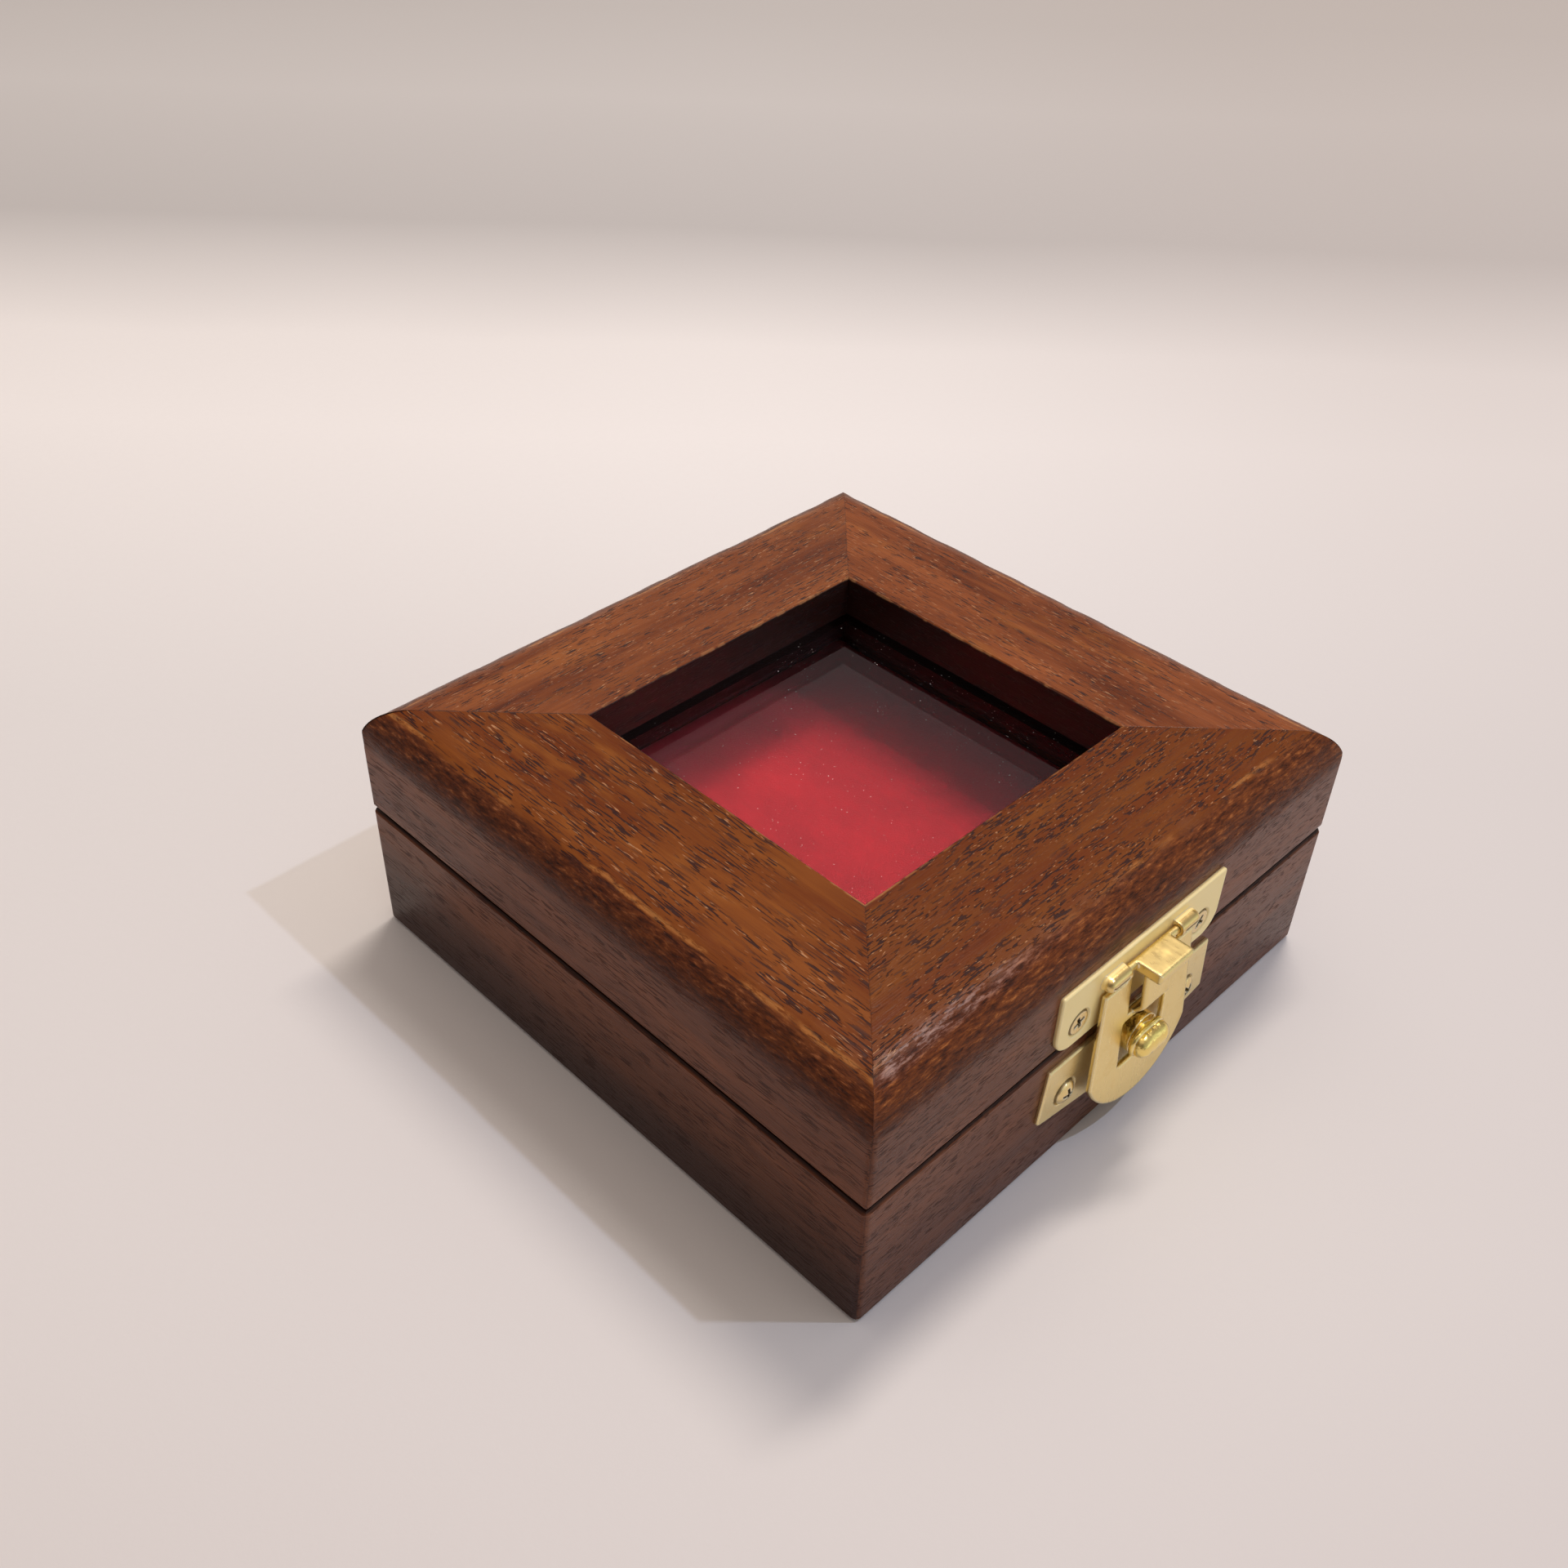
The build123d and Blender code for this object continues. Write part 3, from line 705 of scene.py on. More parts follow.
# %% [markdown]
# ## Brass
#
# The latch is stamped from lacquered brass sheet, so its faces are satin with a faint rolled grain. The knob
# and the screws are turned or headed, which leaves them brighter. Brass is a metal: its colour is the colour
# of what it reflects, so the base colour is pale and the pattern is mostly in roughness and bump. The lacquer
# of the upper plate has gone milky, so that plate is mostly painted in light and only a little of a metal.


# %% Mix the brass finishes
def brass(name, colour, roughness, rolled, depth, dullness, metal=1.0, recess_shaded=False, proud=False, edge=0.22):
    """Lacquered brass whose rolled grain has these sizes and this depth in mm.

    Dullness is how far brown stains tint it, and a milky lacquer makes it less of a metal. With the recess
    flag set, a piece gets painted shade in its recess and round its rim. A proud one has loops that shine.
    Edge is how far in from its edges a painted highlight pales it; the lower roughness there is polish from
    handling.
    """
    f = Finish(name)
    grain = f.noise(rolled, 3.0, 0.6)
    peel = f.noise((1.6, 1.6, 1.6), 2.0, 0.5, (3.0, 1.0, 8.0))
    stain = f.step(f.noise((2.6, 2.6, 2.6), 4.0, 0.62, (9.0, 4.0, 2.0)), 0.52, 0.74)
    warm = tuple(part * shade for part, shade in zip(colour, (0.86, 0.76, 0.55)))
    tint = f.mix(stain * dullness, colour, warm)
    tint = f.mix(f.step(grain, 0.35, 0.75) * 0.25, tint, tuple(min(1.0, part * 1.06) for part in colour))
    rough = roughness + 0.16 * (grain - 0.5) + 0.10 * stain
    if proud:
        # Its rolled loops stand clear of the lacquered sheet and shine like bare metal.
        _, y, _ = f.split(f.place)
        loops = f.step(y, -BOX_HALF - 0.8, -BOX_HALF - 1.2)
        tint = f.mix(loops * 0.8, tint, (0.80, 0.58, 0.22))
        metal = metal + (1.0 - metal) * loops
        rough = rough - 0.12 * loops
    if recess_shaded:
        # Painted shade in the cross of a screw head and round its rim.
        recess = f.node("ShaderNodeAttribute", {"attribute_name": "recess"}, out=2)
        tint = f.mix(recess * 0.88, tint, (0.075, 0.042, 0.014))
        rough = rough + 0.3 * recess
    edges = f.node("ShaderNodeBevel", {"samples": 6}, {"Radius": edge * MM})
    true_normal = f.node("ShaderNodeNewGeometry", out=3)
    turned = f.node("ShaderNodeVectorMath", {"operation": "DOT_PRODUCT"}, {0: edges, 1: true_normal}, out=1)
    # Painted highlight: edges pale towards white; their lower roughness is polish from handling.
    edge_highlight = f.step(turned, 0.985, 0.90)
    tint = f.mix(edge_highlight * 0.75, tint, (1.0, 0.92, 0.68))
    rough = rough - 0.12 * edge_highlight
    normal = f.bump(grain * 0.5 + peel * 0.8, depth, Normal=edges)
    shader = f.principled(Base_Color=tint, Metallic=metal, Roughness=rough, Normal=normal)
    return f.surface(shader)


PLATE_GRAIN = (0.5, 3.0, 0.12)
sheet_brass = brass("sheet_brass", (1.0, 0.80, 0.37), 0.36, PLATE_GRAIN, 0.008, 0.10, metal=0.12, proud=True)
lower_brass = brass("lower_brass", (0.88, 0.70, 0.33), 0.30, PLATE_GRAIN, 0.010, 0.35, metal=0.85)
hasp_brass = brass("brushed_brass", (0.88, 0.69, 0.29), 0.29, (0.6, 1.6, 5.0), 0.004, 0.35, edge=0.42)
knob_brass = brass("polished_brass", (0.97, 0.74, 0.24), 0.17, (1.1, 1.1, 1.1), 0.20, 0.35)
screw_brass = brass("headed_brass", (0.86, 0.66, 0.30), 0.22, (0.5, 0.5, 0.5), 0.020, 0.60, 0.9, recess_shaded=True)
hinge_brass = brass("rolled_brass", (0.85, 0.69, 0.36), 0.30, (3.0, 0.5, 0.14), 0.010, 0.40)
print("brass finishes: 6")

# %% [markdown]
# ## Screws
#
# Twelve screws of three sorts hold the latch and the hinges. Each sort is shaped once: its profile is spun
# round, and a tapered cross is cut into the head. A small tree then sets it out in rows, and turns each screw
# by its own chance angle, because no two stop at the same place.


# %% Spin a profile, and cross two wedges
def closed_mesh(name, work):
    """The shape drawn so far as a mesh, with all its faces turned outwards."""
    bmesh.ops.recalc_face_normals(work, faces=work.faces)
    mesh = bpy.data.meshes.new(name)
    work.to_mesh(mesh)
    work.free()
    return mesh


def spun_mesh(name, profile, steps):
    """A closed body turned from a profile of radius and height in mm, from the axis round to the axis."""
    work = bmesh.new()
    rings = []
    for radius, height in profile:
        if radius == 0:
            rings.append([work.verts.new((0, 0, height * MM))])
            continue
        ring = []
        for index in range(steps):
            angle = 2 * pi * index / steps
            ring.append(work.verts.new((radius * MM * cos(angle), radius * MM * sin(angle), height * MM)))
        rings.append(ring)
    for upper, lower in zip(rings, rings[1:]):
        for index in range(steps):
            after = (index + 1) % steps
            corners = [upper[index % len(upper)], upper[after % len(upper)]]
            corners += [lower[after % len(lower)], lower[index % len(lower)]]
            work.faces.new(list(dict.fromkeys(corners)))
    return closed_mesh(name, work)


def cross_mesh(name, length, width, top, depth):
    """Two crossed wedges that narrow downwards, as a cutter for the recess. Sizes are in mm."""
    work = bmesh.new()
    above = 0.3
    ends = ((top + above, length / 2, width / 2), (top - depth, length / 5, width / 3))
    for turned in (False, True):
        corners = []
        for height, reach, half in ends:
            for sx, sy in ((-1, -1), (1, -1), (1, 1), (-1, 1)):
                x, y = sx * reach, sy * half
                if turned:
                    x, y = -y, x
                corners.append(work.verts.new((x * MM, y * MM, height * MM)))
        work.faces.new(corners[:4])
        work.faces.new(corners[7:3:-1])
        for index in range(4):
            after = (index + 1) % 4
            work.faces.new((corners[index], corners[index + 4], corners[after + 4], corners[after]))
    return closed_mesh(name, work)


# %% Shape one screw with a cross recess
SHANK_RADIUS = 0.75
TIP_RADIUS = 0.15
POINT_LENGTH = 1.6
HEAD_RIM = 0.28
DOMED_EDGE = 0.12
DOME_STEPS = 8
SPIN_STEPS = 40
CROSS_WIDTH = 0.5
CROSS_DEPTH = 0.75


def dome_profile(head, dome):
    """Points down a round dome from its top, not as far as its foot."""
    sphere = (head**2 + dome**2) / (2 * dome)
    widest = asin(head / sphere)
    angles = [widest * index / DOME_STEPS for index in range(1, DOME_STEPS)]
    return [(sphere * sin(angle), dome - sphere + sphere * cos(angle)) for angle in angles]


def mark_painted_recess_shade(mesh, head, dome, recess):
    """A value on each face: 1 in the cross and nearly 1 on the rim, where shade is painted, and 0 elsewhere.
    """
    marks = mesh.attributes.new("recess", "FLOAT", "FACE")
    for face, mark in zip(mesh.polygons, marks.data):
        x, y, z = face.center / MM
        reach = sqrt(x * x + y * y)
        near_cross = reach < recess / 2 + 0.05 and -0.9 < z < dome - 0.1
        in_cross = near_cross and (abs(face.normal.z) < 0.9 or z < dome - 0.3)
        mark.value = 1.0 if in_cross else 0.85 if reach > head - 0.20 else 0.0
    return sum(mark.value > 0 for mark in marks.data)


def screw_mesh(name, head, depth, length, dome, recess):
    """One countersunk screw with its rim on z = 0 and a cross in its head, whose radius is head."""
    profile = [(0.0, dome)] + (dome_profile(head, dome) if dome else [])
    profile += [
        (head - HEAD_RIM, DOMED_EDGE if dome else 0.0), (head, -HEAD_RIM), (SHANK_RADIUS, -depth),
        (SHANK_RADIUS, POINT_LENGTH - length), (TIP_RADIUS, -length), (0.0, -length),
    ]
    body = linked(name, spun_mesh(name, profile, SPIN_STEPS))
    cutter = linked(name + "_cutter", cross_mesh(name + "_cutter", recess, CROSS_WIDTH, dome, CROSS_DEPTH))
    cut = body.modifiers.new("recess", "BOOLEAN")
    cut.object = cutter
    cut.solver = "EXACT"
    cut.use_self = True
    mesh = final_mesh(body)
    bpy.data.objects.remove(body)
    bpy.data.objects.remove(cutter)
    print(name, "faces:", len(mesh.polygons), "dark ones:", mark_painted_recess_shade(mesh, head, dome, recess))
    return mesh


flat_screw = screw_mesh("flat_screw", head=1.66, depth=1.0, length=5.2, dome=0.0, recess=2.1)
raised_screw = screw_mesh("raised_screw", head=1.68, depth=1.0, length=5.2, dome=0.68, recess=2.3)
hinge_screw = screw_mesh("hinge_screw", head=1.42, depth=0.78, length=4.6, dome=0.0, recess=1.7)


# %% The tree that sets screws out in rows
PAIR = 2
CHANCE_TURN = 0.8


def screw_rows_tree():
    """A screw in, and out come rows of pairs of it, each turned by chance."""
    names = [
        ("Spacing", "NodeSocketFloat"), ("Groups", "NodeSocketInt"), ("Group spacing", "NodeSocketFloat"),
        ("Middle", "NodeSocketVector"), ("Facing", "NodeSocketVector"), ("Seed", "NodeSocketInt"),
        ("Finish", "NodeSocketMaterial"),
    ]
    g, given = new_geometry_tree("screw_rows", names)

    def centred_line(count, spacing):
        start = g.join((count - 1.0) * spacing * -0.5, 0.0, 0.0)
        values = {"Count": count, "Start Location": start, "Offset": g.join(spacing, 0.0, 0.0)}
        return g.node("GeometryNodeMeshLine", None, values)

    groups = centred_line(given["Groups"], given["Group spacing"])
    pair = centred_line(g.node("FunctionNodeInputInt", {"integer": PAIR}), given["Spacing"])
    pairs = g.node("GeometryNodeInstanceOnPoints", None, {"Points": groups, "Instance": pair})
    pairs = g.node("GeometryNodeRealizeInstances", None, {0: pairs})
    values = {2: -CHANCE_TURN, 3: CHANCE_TURN, "Seed": given["Seed"]}
    chance = g.node("FunctionNodeRandomValue", {"data_type": "FLOAT"}, values, out=1)
    values = {"Points": pairs, "Instance": given["Geometry"], "Rotation": g.join(0.0, 0.0, chance)}
    screws = g.node("GeometryNodeInstanceOnPoints", None, values)
    values = {"Geometry": screws, "Translation": given["Middle"], "Rotation": given["Facing"]}
    return end_tree(g, g.node("GeometryNodeTransform", None, values), given["Finish"])


rows_tree = screw_rows_tree()

# %% Set out the twelve screws
PLATE = 0.5
LEAF = 0.7
LATCH_MIDDLE = 1.6
UPPER_SPACING = 21.4
UPPER_HEIGHT = 21.1
LOWER_SPACING = 21.8
LOWER_HEIGHT = 10.7
HINGE_HEIGHT = (LID_FOOT + BASE_TOP) / 2
HINGE_SCREW_RISE = 4.4
HINGE_SCREW_SPACING = 9.4
HINGE_SPACING = 44.0
FRONT_FACING = (radians(90), 0.0, 0.0)
BACK_FACING = (radians(90), 0.0, radians(180))


def screw_row(name, mesh, node, body, spacing, groups, middle, facing, seed):
    """A row of screws in pairs that stands for a CAD node. Its size is printed beside the node's."""
    values = {
        "Spacing": spacing * MM, "Groups": groups, "Group spacing": HINGE_SPACING * MM,
        "Middle": tuple(part * MM for part in middle), "Facing": facing, "Seed": seed, "Finish": screw_brass,
    }
    made = run_tree(name, mesh, rows_tree, values, 30.0)
    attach(made, body)
    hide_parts(node)
    low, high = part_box(node)
    spans = [max(axis) - min(axis) for axis in zip(*(v.co for v in made.data.vertices))]
    print(name, "spans", [round(part, 4) for part in spans], "CAD", [round(part, 4) for part in high - low])


def latch_row(name, mesh, node, body, spacing, height, seed):
    """One pair through a plate on the front."""
    middle = (LATCH_MIDDLE, -BOX_HALF - PLATE, height)
    screw_row(name, mesh, node, body, spacing, 1, middle, FRONT_FACING, seed)


def hinge_row(name, node, body, rise, seed):
    """Two pairs through two hinge leaves on the back."""
    middle = (0.0, BOX_HALF + LEAF, HINGE_HEIGHT + rise)
    screw_row(name, hinge_screw, node, body, HINGE_SCREW_SPACING, 2, middle, BACK_FACING, seed)


latch_row("upper_latch_screws", flat_screw, "upper_plate_screws", "lid", UPPER_SPACING, UPPER_HEIGHT, 4)
latch_row("lower_latch_screws", raised_screw, "lower_plate_screws", "base", LOWER_SPACING, LOWER_HEIGHT, 9)
hinge_row("upper_hinge_screws", "hinge_lid_screws", "lid", HINGE_SCREW_RISE, 2)
hinge_row("lower_hinge_screws", "hinge_base_screws", "base", -HINGE_SCREW_RISE, 7)

# %% [markdown]
# ## The velvet pad
#
# The pad is velvet over a soft filling, so it is crowned: highest in the middle, lower along the walls, and
# flat only underneath. A cloth simulation gives that form. The pad starts a little small, is remeshed into
# even squares, and is blown up from inside with its underside held still. It is simulated ten times too
# large, because cloth is tuned for cushions and not for a thing of 66 mm.

# %% Shape the pad a little small
SIM_SCALE = 10.0
SIDE_ROOM = 0.3
TOP_ROOM = 0.6
PAD_CORNER = 2.4
PAD_RIM = 1.1
PAD_SQUARE = 1.0


def rounded_edges(work, edges, radius):
    """Rounds these edges to a radius in mm."""
    bmesh.ops.bevel(work, geom=edges, offset=radius * MM * SIM_SCALE, segments=6, affect="EDGES", profile=0.5)


def pad_start(name):
    """Rounded block, in metres at the simulation's scale."""
    work = bmesh.new()
    bmesh.ops.create_cube(work, size=1.0)
    half = (PAD_HALF - SIDE_ROOM) * MM * SIM_SCALE
    low, high = PAD_FOOT * MM * SIM_SCALE, (PAD_TOP - TOP_ROOM) * MM * SIM_SCALE
    for vertex in work.verts:
        vertex.co.x = half if vertex.co.x > 0 else -half
        vertex.co.y = half if vertex.co.y > 0 else -half
        vertex.co.z = high if vertex.co.z > 0 else low
    upright = [e for e in work.edges if abs(e.verts[0].co.z - e.verts[1].co.z) > 1e-6]
    rounded_edges(work, upright, PAD_CORNER)
    rim = [e for e in work.edges if all(abs(v.co.z - high) < 1e-7 for v in e.verts)]
    rounded_edges(work, rim, PAD_RIM)
    return linked(name, closed_mesh(name, work))


def remeshed(obj, square):
    """The object cut up into even squares of this many mm, as a new plain object."""
    change = obj.modifiers.new("even", "REMESH")
    change.mode = "VOXEL"
    change.voxel_size = square * MM * SIM_SCALE
    mesh = final_mesh(obj)
    bpy.data.objects.remove(obj)
    return linked("pad_even", mesh)


cushion = remeshed(pad_start("pad_form"), PAD_SQUARE)
print("pad faces:", len(cushion.data.polygons))


# %% Blow it up from inside
PRESSURE = 4.0
HELD_HEIGHT = 0.4
FRAMES = 20
MOST_RISE = 0.9


def pressed_cloth(obj):
    """Cloth with pressure inside and its underside held."""
    held = obj.vertex_groups.new(name="held")
    foot = (PAD_FOOT + HELD_HEIGHT) * MM * SIM_SCALE
    held.add([v.index for v in obj.data.vertices if v.co.z < foot], 1.0, "REPLACE")
    cloth = obj.modifiers.new("cloth", "CLOTH")
    cloth.settings.use_pressure = True
    cloth.settings.uniform_pressure_force = PRESSURE
    cloth.settings.vertex_group_mass = "held"
    cloth.settings.effector_weights.gravity = 0.0
    cloth.settings.quality = 5
    cloth.point_cache.frame_start = 1
    cloth.point_cache.frame_end = FRAMES
    return cloth


def blown_up(obj):
    """The object after the cloth has run, with no point moved further than the most that is allowed."""
    start = [v.co.copy() for v in obj.data.vertices]
    cloth = pressed_cloth(obj)
    for number in range(1, FRAMES + 1):
        scene.frame_set(number)
    shaped = obj.evaluated_get(bpy.context.evaluated_depsgraph_get()).data
    moved = [v.co.copy() for v in shaped.vertices]
    obj.modifiers.remove(cloth)
    obj.vertex_groups.clear()
    limit = MOST_RISE * MM * SIM_SCALE
    for vertex, before, after in zip(obj.data.vertices, start, moved):
        shift = after - before
        vertex.co = before + (shift * (limit / shift.length) if shift.length > limit else shift)
    scene.frame_set(1)
    furthest = max((after - before).length for before, after in zip(start, moved)) / MM / SIM_SCALE
    print("pad rose by", round(furthest, 3), "mm before the cap")


blown_up(cushion)

# %% Settle the pad in its well and give it a crown
CROWN = 0.35


def settled(obj, name):
    """Back to real size, crowned, and kept inside the room that its CAD solid holds."""
    for vertex in obj.data.vertices:
        place = vertex.co / SIM_SCALE / MM
        rise = max(0.0, min(1.0, (place.z - PAD_FOOT) / (PAD_TOP - PAD_FOOT)))
        edge = max(abs(place.x), abs(place.y)) / PAD_HALF
        place.z -= CROWN * rise * edge**4
        place.x = max(-PAD_HALF, min(PAD_HALF, place.x))
        place.y = max(-PAD_HALF, min(PAD_HALF, place.y))
        place.z = max(PAD_FOOT, min(PAD_TOP, place.z))
        vertex.co = place * MM
    tidy_mesh(obj.data, 60.0)
    obj.name = name
    obj.data.name = name
    smoother = obj.modifiers.new("smoother", "SUBSURF")
    smoother.levels = 1
    smoother.render_levels = 1
    return obj


velvet_cushion = settled(cushion, "velvet_cushion")
heights = [v.co.z / MM for v in velvet_cushion.data.vertices]
print("pad from", round(min(heights), 2), "to", round(max(heights), 2), "mm")


# %% Velvet
def velvet(name):
    """Deep red velvet: a soft nap that shades in strokes, fine pile, and a pale sheen at low angles."""
    f = Finish(name)
    nap = f.noise((9.0, 14.0, 9.0), 3.0, 0.55, (5.0, 2.0, 0.0))
    pile = f.noise((0.22, 0.22, 0.5), 3.0, 0.7)
    rows = f.noise((0.5, 2.5, 0.5), 2.0, 0.5, (2.0, 9.0, 0.0))
    shade = nap * 0.55 + pile * 0.25 + rows * 0.20
    colour = f.ramp(
        shade,
        (0.30, (0.220, 0.004, 0.007)),
        (0.50, (0.302, 0.006, 0.010)),
        (0.70, (0.390, 0.010, 0.014)),
    )
    # Painted light: a brighter pink band round the border of the pad stands in for a lit strip along the
    # walls.
    x, y, _ = f.split(f.place)
    painted_lit_border = f.step(f.higher(abs(x), abs(y)) + 0.8 * (nap - 0.5), 25.4, 27.8)
    colour = f.mix(painted_lit_border * 0.75, colour, (0.74, 0.045, 0.070))
    normal = f.bump(pile * 0.7 + nap * 0.8, 0.10)
    shader = f.principled(
        Base_Color=colour, Roughness=0.75 + 0.2 * pile, Specular_IOR_Level=0.15,
        Sheen_Weight=0.25, Sheen_Roughness=0.45, Sheen_Tint=(0.9, 0.35, 0.38, 1.0), Normal=normal,
    )
    return f.surface(shader)


velvet_cushion.data.materials.clear()
velvet_cushion.data.materials.append(velvet("red_velvet"))
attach(velvet_cushion, "base")
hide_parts("velvet_pad")


# %% [markdown]
# ## Glass, boards and beads
#
# The pane is 3 mm picture glass with the faintest warm tint. It bends and mirrors light as glass does, but
# lets lamps straight through, because light that glass bends is slow to find. Flecks of dust lie on it.


# %% Glass with dust
def picture_glass(name):
    """Clear glass for the eye and plain see-through for shadows, with dust in a few places."""
    f = Finish(name)
    fleck = f.step(f.noise((0.26, 0.26, 0.26), 1.0, 0.5), 0.755, 0.79)
    fleck = fleck * f.step(f.noise((7.0, 7.0, 7.0), 2.0, 0.5, (4.0, 0.0, 0.0)), 0.44, 0.6)
    tint = (1.0, 0.945, 0.965, 1.0)
    clear = f.node("ShaderNodeBsdfGlass", None, {"Color": tint, "Roughness": 0.0, "IOR": 1.5})
    through = f.node("ShaderNodeBsdfTransparent", None, {"Color": (0.94, 0.95, 0.945, 1.0)})
    shadow = f.node("ShaderNodeLightPath", out=1)
    pane = f.node("ShaderNodeMixShader", None, {0: shadow, 1: clear, 2: through})
    dust = f.principled(Base_Color=(0.62, 0.58, 0.55, 1.0), Roughness=0.9)
    return f.surface(f.node("ShaderNodeMixShader", None, {0: fleck * 0.8, 1: pane, 2: dust}))


# %% Plain boards, and the beads that hold the glass
def board(name, dark, light, sizes, depth):
    """Unfinished board with a straight, faint figure."""
    f = Finish(name)
    figure = f.noise(sizes, 4.0, 0.6, (7.0, 3.0, 1.0), 0.3)
    fluff = f.noise((0.3, 0.3, 0.3), 2.0, 0.6)
    colour = f.ramp(figure * 0.8 + fluff * 0.2, (0.30, dark), (0.70, light))
    normal = f.bump(figure * 0.5 + fluff * 0.5, depth)
    return f.surface(f.principled(Base_Color=colour, Roughness=0.7 + 0.2 * fluff, Normal=normal))


glass = picture_glass("picture_glass")
floor_board = board("floor_board", (0.16, 0.075, 0.035), (0.30, 0.155, 0.075), (30.0, 1.2, 1.2), 0.05)
pad_card = board("pad_card", (0.30, 0.22, 0.14), (0.46, 0.36, 0.25), (2.5, 2.5, 2.5), 0.04)
BEAD_PORES = (1.8, 0.2, 0.6)
bead_along_x = hardwood("bead_along_x", "x", (13.0, 57.0, 3.0), warmth=0.85, gold=0.0, pores=BEAD_PORES)
bead_along_y = hardwood("bead_along_y", "y", (41.0, 11.0, 8.0), warmth=0.85, gold=0.0, pores=BEAD_PORES)
print("other finishes:", glass.name, floor_board.name, pad_card.name, bead_along_x.name, bead_along_y.name)

# %% Dress the CAD nodes that stay as they are
finishes = {
    "glass_pane": glass,
    "floor_panel": floor_board,
    "pad_board": pad_card,
    "latch_plate_upper": sheet_brass,
    "latch_plate_lower": lower_brass,
    "hasp": hasp_brass,
    "turn_knob": knob_brass,
    "glazing_bead_front": bead_along_x,
    "glazing_bead_back": bead_along_x,
    "glazing_bead_left": bead_along_y,
    "glazing_bead_right": bead_along_y,
}
for side in ("left", "right"):
    for part in ("lid_leaf", "base_leaf", "pin"):
        finishes[f"hinge_{part}_{side}"] = hinge_brass
for node, material in finishes.items():
    for slot in nodes[node].material_slots:
        slot.material = material
print("CAD nodes with a finish of their own:", len(finishes))


# %% [markdown]
# ## The table and the light
#
# The box stands on a pale sheet that fills the picture. Two lamps make its shadows. A wide warm ceiling lamp,
# high on the far right, gives the soft one. A small cool lamp on the near right gives the crisp one. The room
# is brighter behind the box than in front of it, and fills in the rest.


# %% The pale sheet
def sheet_material(name):
    """Matt pale paper with painted shade: soft darker bands far behind the box, and darker to the right and
    near the eye.
    """
    f = Finish(name)
    x, y, _ = f.split(f.place)
    away = x * sin(CAMERA_AZIMUTH) + y * cos(CAMERA_AZIMUTH)
    drift = f.noise((160.0, 160.0, 160.0), 2.0, 0.5) - 0.5
    reach = away + drift * 22.0
    fibres = f.noise((1.2, 1.2, 1.2), 3.0, 0.6)
    # The darker bands far behind the box are painted shadows.
    colour = f.ramp(
        f.node("ShaderNodeMapRange", None, {"Value": reach, "From Min": -200.0, "From Max": 500.0}),
        (0.07, (0.695, 0.655, 0.635)),
        (0.34, (0.75, 0.725, 0.71)),
        (0.47, (0.86, 0.83, 0.81)),
        (0.53, (0.83, 0.80, 0.78)),
        (0.62, (0.51, 0.49, 0.48)),
        (0.76, (0.58, 0.56, 0.55)),
        (0.90, (0.53, 0.51, 0.50)),
    )
    sideways = x * cos(CAMERA_AZIMUTH) - y * sin(CAMERA_AZIMUTH)
    # Painted shade to the right and near the eye.
    shade = f.step(sideways, -40.0, 150.0) * 0.7 + f.step(away, -40.0, -140.0) * 0.6
    colour = f.mix(shade * 0.60, colour, (0.48, 0.435, 0.41))
    colour = f.mix(f.step(fibres, 0.3, 0.8) * 0.04, colour, (0.66, 0.62, 0.60))
    normal = f.bump(fibres, 0.02)
    return f.surface(f.principled(Base_Color=colour, Roughness=0.55, Specular_IOR_Level=0.3, Normal=normal))


# %% Lay the sheet just under the box
SHEET_HALF = 3000.0
SHEET_DROP = 0.02
sheet_mesh = bpy.data.meshes.new("sheet")
around = ((-1, -1), (1, -1), (1, 1), (-1, 1))
corners = [(x * SHEET_HALF * MM, y * SHEET_HALF * MM, -SHEET_DROP * MM) for x, y in around]
sheet_mesh.from_pydata(corners, [], [(0, 1, 2, 3)])
sheet_mesh.materials.append(sheet_material("pale_sheet"))
sheet = linked("table_sheet", sheet_mesh)
print("sheet is", 2 * SHEET_HALF, "mm square")


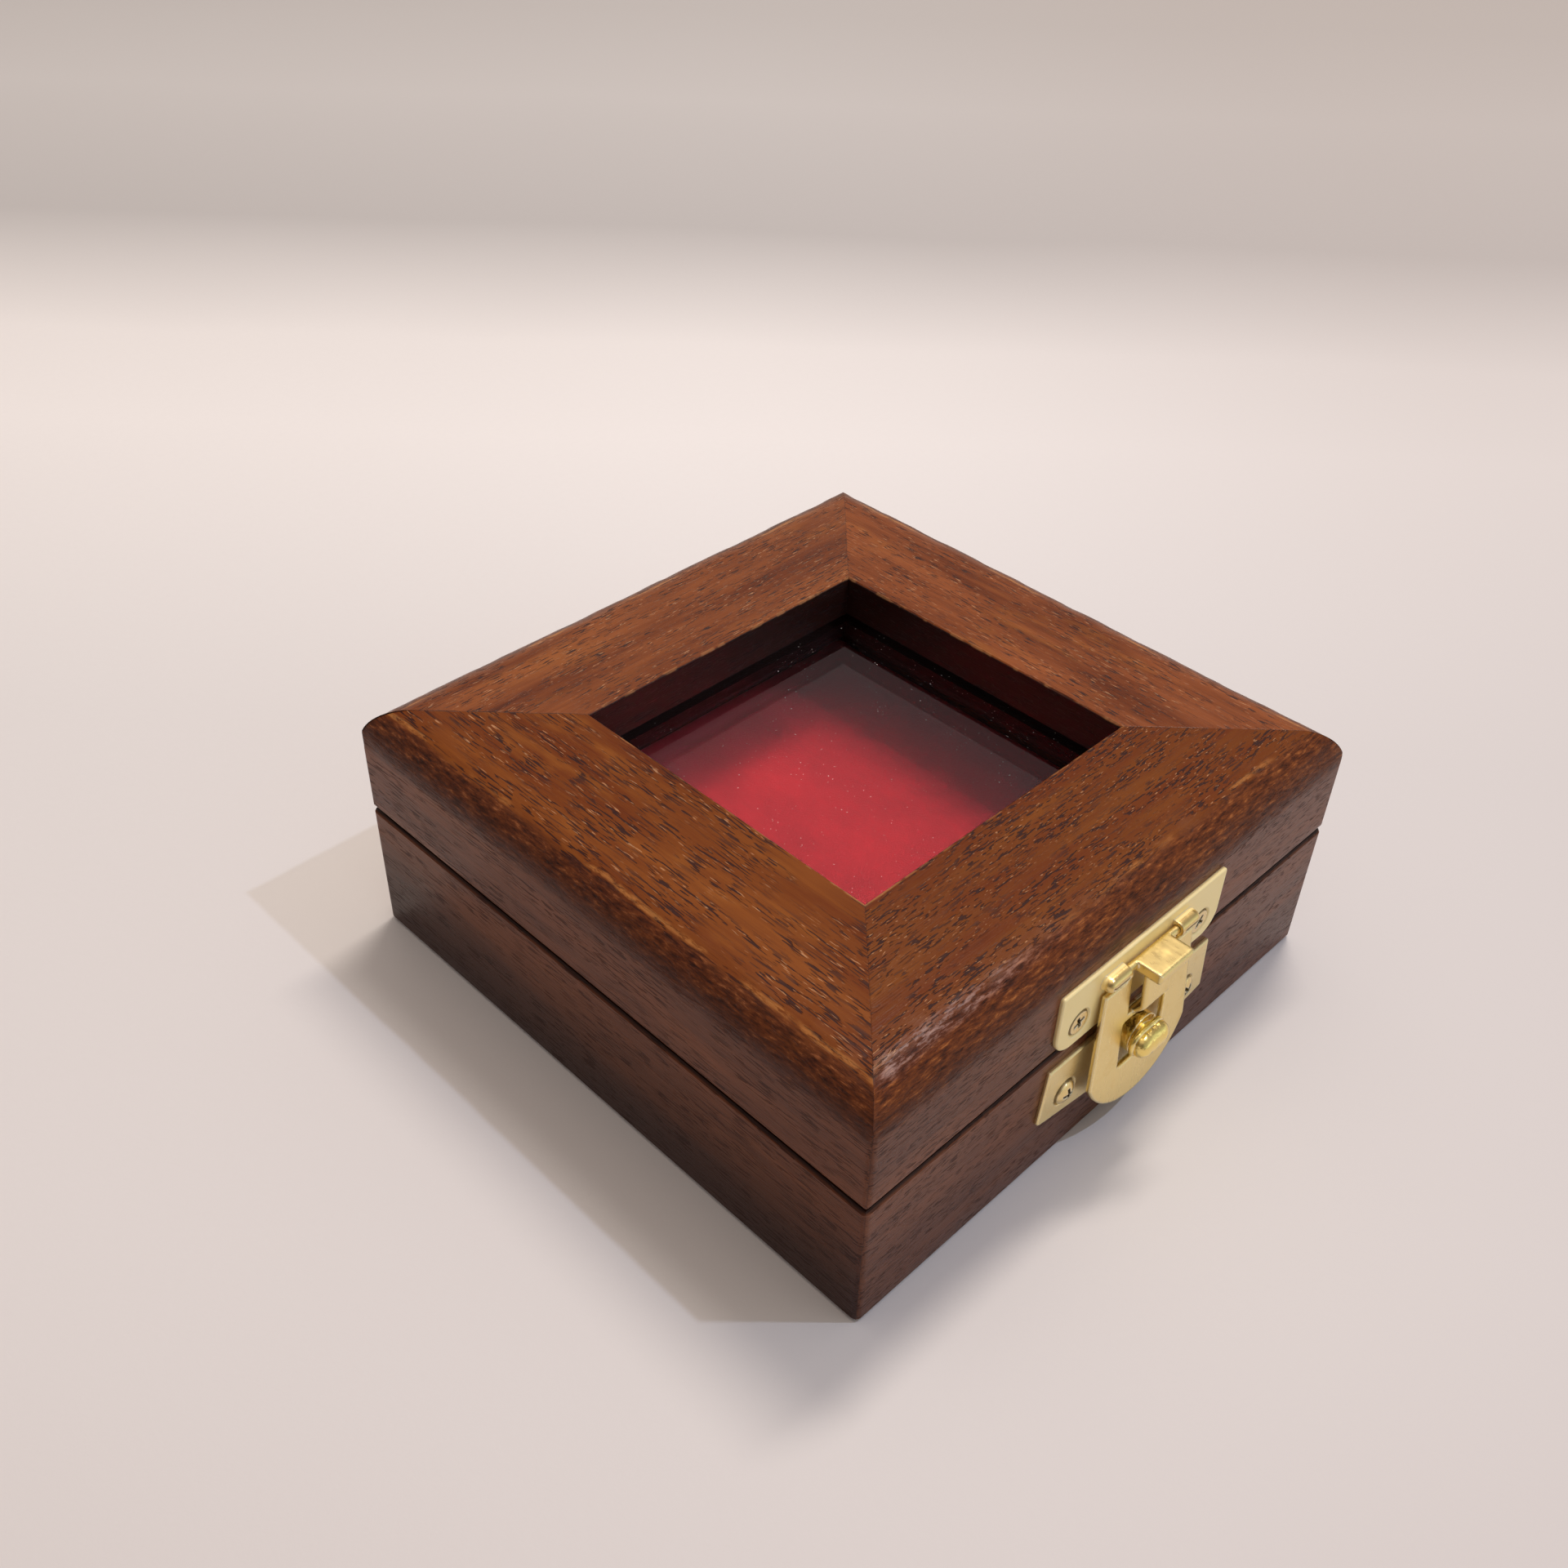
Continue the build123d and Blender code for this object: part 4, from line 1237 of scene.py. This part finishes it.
# %% Light the room
def room():
    """World light: brighter behind the box than in front, pale where the camera looks straight at it."""
    world = bpy.data.worlds.new("room")
    scene.world = world
    world.use_nodes = True
    g = Graph(world.node_tree)
    x, y, z = g.split(g.node("ShaderNodeTexCoord", out=0))
    behind = x * sin(CAMERA_AZIMUTH) + y * cos(CAMERA_AZIMUTH)
    low = g.higher(1.0 - abs(z), 0.0)
    up = g.higher(z, 0.0)
    left = g.higher(y - x, 0.0) * (0.20 * low + 0.20 * up * low)
    level = 0.08 + 0.85 * g.higher(behind, 0.0) ** 2.0 * low ** 1.5 + left + 1.20 * up ** 5.0
    front = 0.85 * g.higher(-y, 0.0) * low * g.higher(x - y, 0.0)
    red = level + front
    green = level * 0.86 + front * 1.12
    blue = level * (0.70 + up * up * (1.0 - up)) + front * 1.15
    lit = g.node("ShaderNodeBackground", None, {"Color": g.join(red, green, blue), "Strength": 1.0})
    seen = g.node("ShaderNodeBackground", None, {"Color": (0.78, 0.74, 0.71, 1.0), "Strength": 1.0})
    eye = g.node("ShaderNodeLightPath", out=0)
    g.node("ShaderNodeOutputWorld", None, {0: g.node("ShaderNodeMixShader", None, {0: eye, 1: lit, 2: seen})})


room()
print("world:", scene.world.name)


# %% Hang the two lamps
LAMP_TURN = radians(22)
LAMP_AIM = Vector((0, 0, 0.02))
CEILING_DIRECTION = Vector((0.40, 0.15, 1.0)).normalized()
CEILING_DISTANCE = 1.6
COOL_LAMP_PLACE = Vector((0.122, -0.198, 0.454))


def lamp(name, kind, place, power, colour, size):
    """A lamp that faces the box. An area lamp is longest from the far left to the near right."""
    data = bpy.data.lights.new(name, kind)
    data.energy = power
    data.color = colour
    if kind == "AREA":
        data.shape = "ELLIPSE"
        data.size, data.size_y = size
    else:
        data.shadow_soft_size = size
    made = linked(name, data)
    back = (place - LAMP_AIM).normalized()
    long_way = Vector((cos(LAMP_TURN), -sin(LAMP_TURN), 0))
    across = long_way - back * back.dot(long_way)
    across.normalize()
    turn = Matrix((across, back.cross(across), back)).transposed()
    made.matrix_world = Matrix.Translation(place) @ turn.to_4x4()
    print(name, kind, power, "W at", [round(part, 3) for part in place])


ceiling_place = CEILING_DIRECTION * CEILING_DISTANCE
lamp("ceiling_lamp", "AREA", ceiling_place, 11.3, (1.0, 0.905, 0.83), (0.60, 0.20))
lamp("small_cool_lamp", "POINT", COOL_LAMP_PLACE, 2.1, (0.64, 0.75, 1.0), 0.005)
